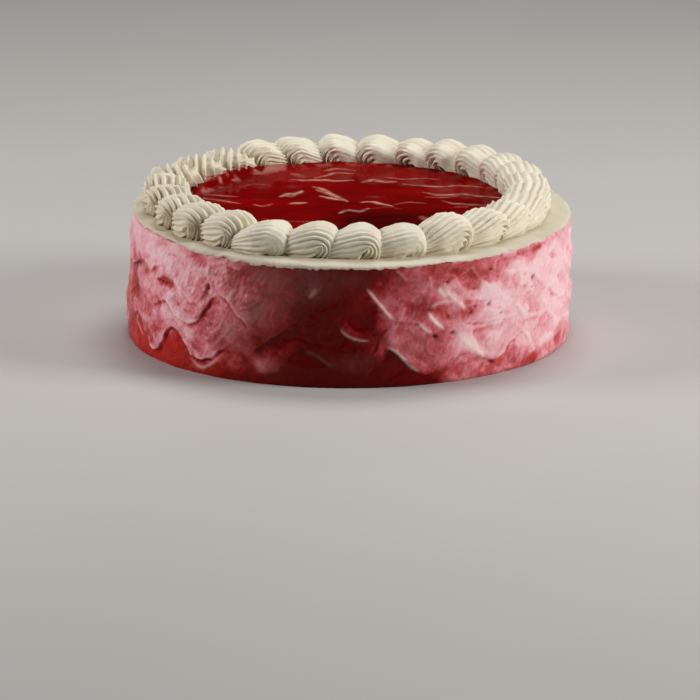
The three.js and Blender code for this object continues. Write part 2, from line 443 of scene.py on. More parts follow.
class Side:
    """Height, redness and pits of the side on a grid of angle columns and height rows."""

    def __init__(self, cols, rows):
        self.cols, self.rows = cols, rows
        self.deg = -180 + 360 * np.arange(cols) / cols
        self.v = np.linspace(0, 1, rows)
        rad = np.radians(self.deg)
        top = np.minimum(band_z(self.deg) + 1.2, TOP_Z + lean(112 * np.sin(rad), -112 * np.cos(rad)) - 0.9)
        self.z = self.v[:, None] * top[None, :]
        self.D = np.broadcast_to(self.deg[None, :], self.z.shape)
        self.relief = np.zeros_like(self.z)
        # painted shadow in the line under each combed edge, painted highlight in the pale line along its top
        self.shadow_crease = np.zeros_like(self.z)      # the red line under an edge
        self.rim = np.zeros_like(self.z)         # the pale line along its top

    def distance(self, line, reach=13.0):
        """Signed distance in mm to a line of (angle, height), positive on the left of its
        direction, and how far along it the nearest point lies. Far away it stays at reach."""
        best = np.full(self.z.shape, reach ** 2)
        sign = np.ones(self.z.shape)
        along = np.zeros(self.z.shape)
        p = np.asarray(line, float)
        lengths = np.hypot(np.diff(p[:, 0]) * MM_PER_DEG, np.diff(p[:, 1]))
        run = np.concatenate([[0], np.cumsum(lengths)])
        total = run[-1]
        for k in range(len(p) - 1):
            mid = (p[k, 0] + p[k + 1, 0]) / 2
            half = abs(p[k + 1, 0] - p[k, 0]) / 2 + reach / MM_PER_DEG
            off = (self.deg - mid + 180) % 360 - 180
            c = np.nonzero(np.abs(off) <= half)[0]
            if not len(c):
                continue
            s = off[c][None, :] * MM_PER_DEG
            a = np.array([(p[k, 0] - mid) * MM_PER_DEG, p[k, 1]])
            b = np.array([(p[k + 1, 0] - mid) * MM_PER_DEG, p[k + 1, 1]])
            ab = b - a
            z = self.z[:, c]
            t = clamp(((s - a[0]) * ab[0] + (z - a[1]) * ab[1]) / max(ab @ ab, 1e-9))
            dx, dz = s - (a[0] + t * ab[0]), z - (a[1] + t * ab[1])
            d2 = dx * dx + dz * dz
            near = d2 < best[:, c]
            cross = ab[0] * dz - ab[1] * dx
            sub = best[:, c]
            sub[near] = d2[near]
            best[:, c] = sub
            sub = sign[:, c]
            sub[near] = np.where(cross >= 0, 1.0, -1.0)[near]
            sign[:, c] = sub
            sub = along[:, c]
            sub[near] = ((run[k] + t * lengths[k]) / total)[near]
            along[:, c] = sub
        return np.sqrt(best) * sign, along

    def lip(self, line, out, under, back=7.0, front=5.0, width=0.8, ends=0.12, closed=False):
        """The edge of a combed wave: proud on its left side, falling into a hollow on its right."""
        d, t = self.distance(line)
        self.lips = getattr(self, "lips", 0) + 1
        d = d + (0.75 * round_noise(self.D, self.z, 5, 5, 300 + self.lips)
                 + 0.35 * round_noise(self.D, self.z, 2.0, 2.0, 330 + self.lips))
        patchy = step(-0.35, 0.30, round_noise(self.D, self.z, 8, 8, 360 + self.lips))
        width = width * (1.6 - 0.8 * patchy)
        m = step(-width, width * 0.4, d)
        uneven = (0.9 + 0.55 * round_noise(self.D, self.z, 9, 9, 200 + self.lips, octaves=1)) * (0.55 + 0.45 * patchy)
        combed = 0.16 * np.cos(2 * np.pi * d / 2.3) * step(0.4, 1.6, d) * np.exp(-np.maximum(d, 0) / 6)
        h = (out * uneven + combed) * np.exp(-np.maximum(d, 0) / back) * m
        h = h - under * uneven * np.exp(-np.maximum(-d, 0) / front) * (1 - m)
        h *= 1 - step(9, 13, np.abs(d))
        if not closed:
            h *= step(0, ends, t) * step(1, 1 - ends, t)
        self.relief += h
        shown = (0.25 + 0.75 * patchy) * (1.0 if closed else step(0, ends, t) * step(1, 1 - ends, t))
        # painted shadow just under the edge, painted highlight just above it
        self.shadow_crease = np.maximum(self.shadow_crease, min(1.0, under) * shown * np.exp(-((d + 0.7) / 0.75) ** 2))
        self.rim = np.maximum(self.rim, min(1.0, out) * shown * np.exp(-((d - 0.75) / 0.65) ** 2))
        return d, t

    def ridge(self, line, height, width, ends=0.2):
        """A narrow raised ridge, or a groove where height is negative."""
        d, t = self.distance(line)
        self.relief += height * np.exp(-(d / width) ** 2) * step(0, ends, t) * step(1, 1 - ends, t)
        return d, t

    def blob(self, deg, z, wide, tall, lean_=0.0):
        """A soft round patch in 0..1."""
        off = ((self.D - deg + 180) % 360 - 180) * MM_PER_DEG
        u = off + lean_ * (self.z - z)
        return np.exp(-((u / wide) ** 2 + ((self.z - z) / tall) ** 2))


# pale frosting is thick where this is 0, and the red ground shows where it is 1, every 10 degrees
THIN = [1.12, 0.90, 0.64, 0.40, 0.20, 0.12, 0.08, 0.10, 0.13, 0.18, 0.24, 0.36, 0.32, 0.20, 0.14, 0.22,
        0.40, 0.48, 0.36, 0.22, 0.14, 0.24, 0.38, 0.32, 0.20, 0.16, 0.22, 0.28, 0.38, 0.42, 0.34, 0.26,
        0.34, 0.58, 0.90, 1.10]


def bell(deg, at, wide):
    off = (deg - at + 180) % 360 - 180
    return np.exp(-(off / wide) ** 2)


def build_side():
    S = Side(1080, 90)
    D, Z = S.D, S.z
    back_c = trace(wavy_row([(99, 8)], 99, 260, 12.6, 6.0, 11) + [(260, 7)])
    row_c = np.vstack([soft_line(ROW_C)[:-1], back_c])
    row_c[:, 1] += 0.7 * round_noise(row_c[:, 0], 0 * row_c[:, 0], 5, 5, 33)
    # the lowest edge stands out at the left and right and nearly melts away at the front
    crisp = clamp(bell(D, -62, 9) + bell(D, -42, 8) + 0.7 * bell(D, 13, 4) + 0.5 * bell(D, 46, 6) + 0.3 * bell(D, 88, 14)
                  + 0.75 * (np.abs(D) > 97) + 0.35 * bell(D, -8, 3))
    wave_c = S.relief.copy()
    d_c, _ = S.lip(row_c, 1.2, 0.9, back=6.5, front=5.5, width=0.7, closed=True)
    d_c = np.where((d_c > 11.4) & (Z < 12), -13.0, d_c)      # the foot between the waves is below them
    S.relief = wave_c + (S.relief - wave_c) * (0.28 + 0.72 * crisp)
    S.shadow_crease *= 0.2 + 0.8 * crisp
    S.rim *= crisp
    back_b = trace(wavy_row(ROW_B_RIGHT, 100, 260, 31.0, 6.0, 12) + [(260, 27), (269, 37), (280, 26), (289, 36)])
    mild = S.relief.copy()
    S.lip(back_b, 1.4, 1.1, back=7.0, front=4.5, width=0.9, ends=0.05)
    back_a = trace(wavy_row([(60, 50), (68, 40), (78, 52), (88, 42)], 88, 283, 46.0, 5.6, 13) + [(283, 44)])
    S.lip(back_a, 1.1, 0.8, back=6.0, front=4.0, width=0.9, ends=0.06)
    S.relief = mild + (S.relief - mild) * (0.35 + 0.65 * step(70, 98, np.abs(D)))

    # the combed edges across the front, from left to right
    front = [
        ([(-79, 41.5), (-74, 44), (-71, 47), (-68, 48.6), (-65, 48.2), (-62, 46)], 0.9, 0.9),
        ([(-64, 44), (-61, 47.5), (-57.5, 50.2), (-54, 51)], 0.5, 0.6),
        ([(-61, 41.5), (-58, 43.6), (-55.5, 45.8), (-53, 45.2), (-51, 43), (-49, 40.5), (-47, 38),
          (-45, 36.2), (-43, 36.4), (-41, 38.5), (-39.9, 42), (-39.2, 46), (-38.4, 50)], 1.1, 1.1),
        ([(-62, 28.5), (-59, 30.2), (-55, 33.4), (-53.5, 31), (-52, 28.6), (-50, 26.5), (-48, 25), (-46, 24.6),
          (-44, 25.6), (-42, 28), (-40.7, 31.5), (-39.3, 35.6), (-37.6, 39.6), (-36, 41.9), (-34.8, 42.8)], 1.05, 0.7),
        ([(-35.2, 42.8), (-33, 40.8), (-31.3, 38.4), (-30, 35.8), (-28.8, 33), (-27.6, 30.2), (-26.4, 27)], 0.8, 0.7),
        ([(-31, 38.4), (-29, 37), (-27, 37.6), (-25, 39.7), (-23, 42.6), (-21, 44.9), (-19, 46.6), (-17, 47),
          (-15, 46), (-13, 44.4), (-11, 43.6), (-8, 43.8), (-5, 45.2), (-2, 46.8), (1, 48.5)], 0.4, 0.3),
        ([(-25, 16), (-23, 19.8), (-21, 22.8), (-19, 25.4), (-17, 28), (-15.4, 31), (-14, 34.4)], 0.6, 0.5),
        ([(10.8, 34), (13, 33), (15, 32.6), (17, 31.8), (18.6, 29.8), (20.6, 27)], 0.6, 0.6),
        ([(10.8, 33), (9.3, 30), (8, 26), (6.9, 22), (6, 17.5)], 0.4, 0.4),
        ([(30.5, 29), (34, 29.4), (37, 29), (41, 28.2), (46, 27.8), (52, 27)], 0.25, 0.2),
        ([(33, 47.5), (36, 43), (39, 40.5), (42, 40), (46, 41.5), (50, 45), (54, 49.5)], 0.22, 0.05),
    ]
    flat = S.relief.copy()
    for line, out, under in front:
        S.lip(soft_line(line), out, under, back=6.5, front=4.5, width=0.9)
    S.relief = flat + 0.74 * (S.relief - flat)

    # narrow ridges and grooves left by the comb: line, height, width and how pale the crest is painted, partly paler
    # frosting and partly painted highlight
    ridges = [
        ([(-2.8, 32), (-2.1, 29), (-1, 27), (0.6, 25.5), (2.6, 24.5), (5, 24.2)], 0.3, 0.6, 0.36),
        ([(3.6, 51.6), (5.6, 46.4), (7.6, 41.4), (9.5, 36.6), (11.4, 33.4)], 0.55, 0.6, 1.0),
        ([(8.5, 21.5), (11, 18.6), (13, 14.6), (15, 10.4), (17.5, 6.4)], 0.45, 0.6, 1.0),
        ([(19.2, 38), (20.4, 34.4), (22, 31), (24.2, 27.2)], 0.5, 0.8, 1.0),
        ([(16.8, 32.6), (18, 30), (19.6, 27.4), (20.8, 26.8)], 0.5, 0.7, 0.85),
        ([(20, 38.4), (21.4, 40.8), (23.6, 41.8), (26.4, 41)], 0.4, 0.9, 0.35),
        ([(23.2, 52), (24.4, 48.2), (25.6, 45), (27.2, 41.8), (29, 38.8), (30.6, 35.6)], 0.35, 1.3, 0.55),
        ([(22.4, 49.5), (23.4, 46.5), (25.0, 43.6)], 0.35, 1.6, 0.6),
        ([(27.6, 24.5), (30, 19.2), (33.6, 14.2), (37.5, 10)], 0.4, 1.8, 0.45),
        ([(-10.6, 45.2), (-9.6, 47.6), (-8.4, 50.8)], 0.3, 1.2, 0.16),
        ([(-52.5, 20), (-50, 16.5), (-46.8, 12), (-44, 8.4)], -0.8, 0.8, 0),
        ([(-66.5, 18), (-64.5, 14), (-62.2, 9.6)], -0.9, 0.8, 0),
        ([(-69, 20.5), (-71, 15.5), (-68.5, 12.2), (-65, 9)], 0.6, 0.7, 0.4),
        ([(-45, 8.6), (-42.4, 4.8), (-40.4, 3.6), (-37.6, 6.2), (-34.6, 11)], 0.5, 0.8, 0.35),
        ([(-58.5, 36), (-56.5, 31), (-55, 27), (-52.5, 22)], 0.5, 1.2, 0.15),
        ([(-80, 42), (-79, 34), (-77.5, 26), (-78.5, 19)], 0.6, 0.9, 0.3),
        ([(-86, 36), (-85, 29), (-85.6, 22)], 0.6, 0.9, 0.3),
        ([(-73.5, 30), (-73, 24), (-71.5, 17)], 0.5, 0.8, 0.3),
        ([(42.4, 41), (43.8, 44.6), (46, 45), (47.6, 42.6)], -0.25, 0.8, 0),
        ([(43, 40), (44.8, 38.4), (46.6, 37.4)], -0.25, 0.8, 0),
        ([(31.6, 58.5), (33, 55), (34.6, 51)], 0.2, 0.6, 0.15),
        ([(11, 60.5), (12.6, 57.4), (14.2, 53.4)], 0.25, 0.6, 0.22),
        ([(19.6, 56.6), (20.4, 52.6), (20.4, 48.6)], 0.3, 0.6, 0.25),
        ([(-47.5, 57.5), (-44.6, 59), (-43.4, 60.6)], -0.5, 0.7, 0),
        ([(-52, 36), (-50, 33), (-47, 30.5), (-44.5, 30)], -0.5, 0.6, 0),
        ([(-55, 27.5), (-52, 25), (-49, 22), (-47.5, 20)], -0.5, 0.6, 0),
        ([(-66, 40), (-63, 39), (-60, 36.5)], -0.6, 0.8, 0),
        ([(-33, 34), (-34.4, 28), (-37, 22), (-40.6, 16)], 0.35, 1.0, 0.10),
        ([(-31, 30), (-32.8, 24), (-36, 17.4), (-39, 13)], 0.30, 1.0, 0.10),
        ([(-38.5, 58), (-38.8, 52), (-38, 47), (-37.4, 42.6)], 0.5, 1.0, 0.2),
        ([(52, 14), (56, 18), (60, 24), (63, 28)], -0.3, 0.8, 0),
        ([(50, 30), (57, 31.5), (66, 31)], -0.15, 0.8, 0),
        ([(-12, 19), (-9, 17), (-6.5, 13.5), (-4, 10)], 0.25, 1.0, 0.05),
    ]
    # the crests are painted paler, partly paler frosting and partly painted highlight, with a wider painted glow of
    # highlight round them
    crest_and_highlight = np.zeros_like(Z)
    highlight_halo = np.zeros_like(Z)
    for line, height, width, pale_and_glint in ridges:
        d, t = S.ridge(soft_line(line), height, width)
        ends = step(0, 0.25, t) * step(1, 0.75, t)
        crest_and_highlight = np.maximum(crest_and_highlight, pale_and_glint * np.exp(-(d / width / 0.85) ** 2) * ends)
        highlight_halo = np.maximum(highlight_halo, pale_and_glint * np.exp(-((d - 0.8) / 2.6) ** 2) * ends)

    S.relief -= 1.1 * S.blob(2.6, 35, 7.5, 8.5, 0.3)        # scooped hollow beside the sharp ridge
    S.relief -= 0.7 * S.blob(-18.6, 22.5, 6.0, 6.0, -0.5)
    S.relief -= 0.6 * S.blob(25.0, 35, 6.0, 6.0)
    S.relief += 0.5 * S.blob(-33.5, 28, 9.0, 9.0, -0.6)
    S.relief += 0.5 * S.blob(-44.5, 46, 8.0, 8.0)
    # swells that show in the outline at the right and left
    for deg, z, wide, tall, much in [(90, 42, 22, 5.5, 1.5), (90, 23.5, 20, 4.5, 1.9), (90, 32.5, 20, 3.5, -0.9),
                                     (90, 51, 20, 4, -0.9), (90, 13, 20, 5, -0.8), (-90, 19, 22, 7, 1.2), (-90, 36, 22, 6, -0.5)]:
        S.relief += much * S.blob(deg, z, wide, tall)

    # broad unevenness, finger-wide swells, dragged smears and finer marks
    broad = round_noise(D, Z, 26, 20, 31)
    swell = round_noise(D, Z, 9, 8, 41, shear=0.3)
    drag = round_noise(D, Z, 1.9, 7.5, 51, shear=-0.55)
    grain = round_noise(D, Z, 1.1, 2.2, 61, shear=-0.5)
    push = 5.0 * round_noise(D, Z, 15, 12, 141)
    lift = 5.0 * round_noise(D, Z, 13, 11, 143)
    smear = round_noise(D + push / MM_PER_DEG, Z + lift, 12, 6.5, 145, shear=0.7)
    smear2 = round_noise(D + lift / MM_PER_DEG, Z + push, 6.5, 3.6, 147, shear=-0.4)
    rough_zone = clamp(0.25 + 0.9 * S.blob(-31, 50, 22, 11) + 0.5 * S.blob(-52, 45, 26, 22)
                       + 0.3 * step(0.05, 0.25, round_noise(D, Z, 40, 30, 71)) * (np.abs(D) > 95))
    S.relief += 0.50 * broad + 0.38 * swell + 0.10 * drag + 0.22 * rough_zone * (0.6 * drag + grain)
    S.relief += (0.30 + 0.14 * step(20, 34, D) * step(98, 80, D)) * (step(-0.05, 0.12, smear) - 0.5) + 0.12 * (step(-0.05, 0.15, smear2) - 0.5)

    # pits left by air bubbles
    rng = np.random.default_rng(5)
    pits = [(24.9, 51.5, 0.8, 0.9), (38.2, 54.7, 0.8, 0.9), (54.2, 45, 0.8, 0.9), (31.5, 34.2, 1.0, 1.1),
            (33.1, 36.9, 0.8, 0.9), (37.5, 36.9, 0.9, 0.9), (21.4, 24.4, 1.5, 1.5), (26.3, 25.4, 1.1, 1.1),
            (38.3, 7.0, 1.4, 1.0), (50.5, 48.0, 0.6, 0.5), (64, 31.8, 0.7, 0.5), (41.3, 31.5, 0.7, 0.5),
            (-40.9, 52, 0.5, 0.4), (42, 26, 0.6, 0.4), (32.8, 46, 0.6, 0.5), (29.6, 13.4, 0.7, 0.6)]
    for _ in range(26):
        pits.append((rng.uniform(95, 265), rng.uniform(6, 58), rng.uniform(0.5, 1.0), rng.uniform(0.4, 0.9)))
    for _ in range(16):
        pits.append((rng.uniform(24, 95), rng.uniform(5, 57), rng.uniform(0.35, 0.55), rng.uniform(0.2, 0.45)))
    # painted shade darkens the pits
    pit_shade = np.zeros_like(Z)
    for deg, z, radius, deep in pits:
        b = S.blob(deg, z, radius * rng.uniform(0.9, 1.7), radius * rng.uniform(0.7, 1.1), rng.uniform(-0.8, 0.8))
        S.relief -= deep * b
        pit_shade = np.maximum(pit_shade, b * min(1.0, 0.4 + deep * 0.6))

    # redness: thin frosting, the ground below the lowest waves, and painted shade in the hollows under the edges
    thin = around(THIN, D / 360)
    pale = 1 - step(0.15, 0.75, thin)
    red = thin * (0.94 + 0.24 * round_noise(D, Z, 14, 10, 81) * step(1.05, 0.7, thin)) + 0.10 * round_noise(D, Z, 24, 18, 83) * pale
    red = red + (0.06 + 0.10 * pale) * (0.5 - step(-0.16, 0.14, smear)) + 0.09 * pale * (0.5 - step(-0.14, 0.18, smear2))
    middle = step(26, 16, np.abs(D))       # the frosting is thinnest here, and its redness even
    lobes = step(0.2, 1.8, S.relief)
    red = red - 0.15 * lobes * thin * (1 - 0.7 * middle)
    red = red - 0.20 * step(46, 54, Z) * step(-44, -56, D) * (D > -95)
    # redder and paler places, from left to right; the redder spots just under the combed edges at -72, -66, -57, -55.5
    # and -38 degrees are painted shadow
    for deg, z, wide, tall, slant, much in [
            (-74, 32, 14, 9, 0, 0.22), (-86, 26, 14, 14, 0, 0.20), (-76, 14, 10, 9, 0, 0.30), (-68, 25, 7, 6, 0, 0.12),
            (-60, 14, 8, 9, 0, 0.26), (-41, 15, 13, 8, 0, 0.26), (-45, 31, 9, 6, 0, 0.08), (-57, 27, 6, 4, 0, -0.12),
            (-38, 34, 6.5, 7, -0.5, 0.36), (-57, 31.5, 4, 3, 0, 0.35), (-55.5, 43, 5, 2.4, 0, 0.45), (-47, 41, 10, 7, -0.4, -0.12),
            (-24, 30, 10, 8, 0, 0.10), (-66, 44, 5, 3, 0, 0.25), (-72, 47, 4, 3, 0, 0.25), (-28, 22, 12, 9, 0, 0.06),
            (-30, 52, 10, 6, 0, 0.12), (-36, 20, 12, 8, 0, 0.05),
            (12, 40, 8, 11, -0.4, -0.26), (14, 24, 11, 9, 0.4, -0.15), (18, 15, 8, 7, 0, -0.04), (9, 42, 5, 6, 0, -0.10),
            (10.5, 25, 3, 7, 0, -0.20), (24, 44, 6, 8, 0.4, -0.14), (21, 33, 4, 3, 0, -0.15), (27, 55, 12, 5, 0, 0.22),
            (36.5, 54, 6, 4, 0, 0.26), (20, 50, 8, 8, 0, -0.05), (23, 37, 9, 7, 0, 0.20), (29, 35, 6, 4, 0, 0.22),
            (53, 59.8, 14, 2.6, -1.0, 0.40), (44, 58.5, 8, 4, 0, 0.24), (64, 61, 9, 2.2, -1.0, 0.30), (46, 43, 3, 3, 0, 0.14),
            (33.5, 35.5, 6, 3, 0, 0.24), (39, 43, 5, 4, 0, -0.16), (38, 31, 6, 2.0, 0, 0.10), (43, 38, 5, 4, 0, -0.08), (64, 46, 6, 3, 0, 0.10),
            (31, 19, 6, 6, 1.0, -0.26), (40, 22, 9, 5, 0.6, -0.16), (48, 33, 8, 5, 0, -0.10), (72, 40, 14, 16, 0, -0.06),
            (52, 50, 8, 5, 0, -0.10), (60, 18, 8, 8, 0.8, 0.04),
            (43, 38, 7, 5, 0, -0.20), (-24, 9, 12, 6, 0.5, -0.22), (-30, 41, 9, 8, -0.5, -0.10), (-41, 36.5, 3, 2.5, -0.8, -0.22),
            (37.5, 40, 6, 5, 0, -0.20), (0, 30, 5, 6, 0, -0.14), (9.5, 46, 4, 6, -0.3, -0.16), (-47, 52, 5, 7, -0.4, -0.14),
            (-63, 54, 7, 4, 0, -0.10), (-60, 21, 4, 5, 0, -0.12), (-48, 29, 6, 3, -0.5, -0.10), (-46, 17, 5, 4, -0.6, -0.12)]:
        red = red + much * S.blob(deg, z, wide, tall, slant) * (1 + 0.5 * round_noise(D, Z, 5, 4, 85))
    soft = 0.4 + 2.6 * (1 - crisp)
    d_low = d_c + 1.6 * (1 - crisp) * round_noise(D, Z, 8, 6, 87) + 0.4 * round_noise(D, Z, 2.4, 2.4, 88)
    below = step(soft, -soft, d_low) * step(24, 18, Z)
    bloom = step(0.15, 0.6, round_noise(D, Z, 7, 6, 91, shear=0.8)) * step(2, 7, Z)
    right = step(19, 28, D) * step(98, 90, D)
    ground = np.maximum(0, 1.04 - 0.27 * bell(D, -58, 26) - (0.48 + 0.16 * step(50, 60, D)) * right - 0.10 * right * step(8, 14, Z) + 0.24 * S.blob(54, 3, 8, 3.5)
                   + 0.20 * S.blob(40, 7, 4, 2) + 0.32 * S.blob(87, 14, 6, 6) + 0.26 * S.blob(68, 7, 6, 3) - 0.34 * S.blob(51, 15, 10, 10) - 0.14 * S.blob(62, 12, 7, 6)
                   - 0.22 * bloom * (1 - right) * (1 - middle) - 0.12 * right * step(-0.1, 0.15, smear2)
                   - 0.28 * step(92, 106, np.abs(D)) * step(-0.1, 0.5, round_noise(D, Z, 50, 30, 93)))
    for deg, z, wide, tall in [(-42, 3.6, 5, 1.6), (-52, 17, 3.4, 5), (-30, 8.5, 5, 3), (-36, 12, 5, 2.6), (-66, 8, 3, 3), (-74, 12, 4, 5)]:
        ground = ground - 0.30 * S.blob(deg, z, wide, tall) * (1 + 0.6 * round_noise(D, Z, 3, 3, 95))
    red = red * (1 - below) + ground * below
    # painted shade: redder where the relief sinks in
    painted_shade = clamp((-S.relief - 0.15) / 1.3)
    red = red + 0.45 * painted_shade * (1 - 0.5 * step(30, 50, D) * step(95, 80, D)) * (1 - below)
    # painted shadow under the combed edges and painted highlight along their tops
    red = red + 0.38 * S.shadow_crease * (1 - 0.55 * right) - 0.30 * S.rim * (1 - 0.4 * thin)
    red = red + 0.26 * rough_zone * grain + 0.06 * drag
    # painted highlight glowing round the pale crests, veins where the coats were dragged over each other, and a few
    # paler and redder spots
    red = red - 0.20 * highlight_halo
    vein = np.exp(-(round_noise(D + push / MM_PER_DEG, Z + lift, 9, 5, 151, shear=0.5) / 0.07) ** 2)
    red = red + 0.12 * vein * pale * (1 - 0.6 * right)
    for deg, z, wide, tall, much in [(8.5, 46, 6, 7, -0.13), (0, 30, 8, 6, -0.08), (36.7, 40, 5, 5, -0.12),
                                     (-37.5, 40, 4, 4, -0.10), (17, 24, 6, 5, 0.07)]:
        red = red + much * S.blob(deg, z, wide, tall)
    red = clamp(red, 0.0, 1.15)

    # the brightest red, on the ground below the waves at the left and in spots at the right
    bright = 1.1 * below * bell(D, -64, 27) * step(24, 12, Z) * (0.75 + 0.4 * round_noise(D, Z, 9, 7, 155))
    for deg, z, wide, tall, much in [(54, 3, 7, 3, 0.7), (87, 13, 5, 6, 0.8), (67, 7, 6, 3, 0.6), (41, 6.5, 4, 2, 0.4),
                                     (75, 4, 6, 3, 0.4), (30, 4, 8, 3, 0.35), (-84, 20, 7, 14, 0.8), (-76, 24, 6, 12, 0.7),
                                     (2, 42, 5, 8, 0.25), (20, 57, 6, 3, 0.3), (53, 60, 8, 2, 0.3)]:
        bright = bright + much * S.blob(deg, z, wide, tall) * (0.7 + 0.6 * round_noise(D, Z, 4, 3, 157))
    bright = bright + 0.5 * below * step(96, 112, np.abs(D)) * step(-0.2, 0.4, round_noise(D, Z, 40, 20, 159))
    bright = clamp(1.15 * bright) * step(0.28, 0.56, red)

    # a thin greyish film of frosting over the red at some lobes, and under the rim at the front a greyish painted
    # shadow of the cream band
    film_and_shadow = (0.70 * S.blob(-19, 55, 24, 8) + 0.45 * S.blob(-10.5, 47.5, 8, 5) + 0.75 * S.blob(-22, 8.5, 10, 5, 0.8)
            + 0.14 * S.blob(2, 54, 20, 6) + 0.45 * S.blob(-26, 34, 10, 12, -0.5) + 0.20 * S.blob(1, 12, 14, 5)
            + 0.34 * S.blob(-29, 36, 14, 14) + 0.30 * S.blob(-20, 40, 12, 10) - 0.35 * S.blob(8.5, 46, 6, 8)
            + 0.5 * S.blob(15, 22, 11, 8) + 0.35 * S.blob(-33, 23, 12, 9) + 0.35 * S.blob(19, 50, 9, 8))
    film_and_shadow = clamp(film_and_shadow * (0.75 + 0.5 * round_noise(D, Z, 8, 6, 97) + 0.35 * grain)) * 0.62 * (1 - 0.8 * below)

    # the side leans on sizes shared with the solids; the waves fade out under the cream
    fade = 1 - 0.75 * step(band_z(D) - 4.5, band_z(D) + 0.5, Z)
    foot = np.exp(-Z / 1.2)
    r = side_r(Z, D) + S.relief * fade * (1 - 0.35 * foot) - 0.9 * foot
    blend = step(band_z(D) - 9, band_z(D), Z)
    r = r * (1 - blend) + (rim_r(D) - 0.05 + S.relief * fade * 0.8) * blend
    r = r - 1.4 * step(band_z(D) - 0.2, band_z(D) + 0.7, Z)
    rad = np.radians(D)
    verts = np.stack([r * np.sin(rad), -r * np.cos(rad), Z], -1)

    n = S.cols
    inner = np.stack([100 * np.sin(rad[0]), -100 * np.cos(rad[0]),
                      TOP_Z - 6.2 + lean(100 * np.sin(rad[0]), -100 * np.cos(rad[0]))], -1)
    under = np.stack([90 * np.sin(rad[0]), -90 * np.cos(rad[0]), 0 * rad[0]], -1)
    all_v = np.vstack([under, verts.reshape(-1, 3), inner, [[0, 0, 0]], [[0, 0, TOP_Z - 6.2]]])
    quads = grid_faces(S.rows + 2, n, True)
    bottom, top = len(all_v) - 2, len(all_v) - 1
    j = np.arange(n)
    k = (j + 1) % n
    last = (S.rows + 1) * n
    tris = np.vstack([np.stack([np.full(n, bottom), k, j], -1), np.stack([np.full(n, top), last + j, last + k], -1)])
    pad = lambda f: np.concatenate([f[0], f.ravel(), f[-1], [0, 0]])
    return all_v, quads, tris, {"red": pad(red), "pit_shade": pad(pit_shade), "film_and_shadow": pad(film_and_shadow), "crest_and_highlight": pad(clamp(1.15 * crest_and_highlight) * 0.90),
                                 "bright": pad(bright)}


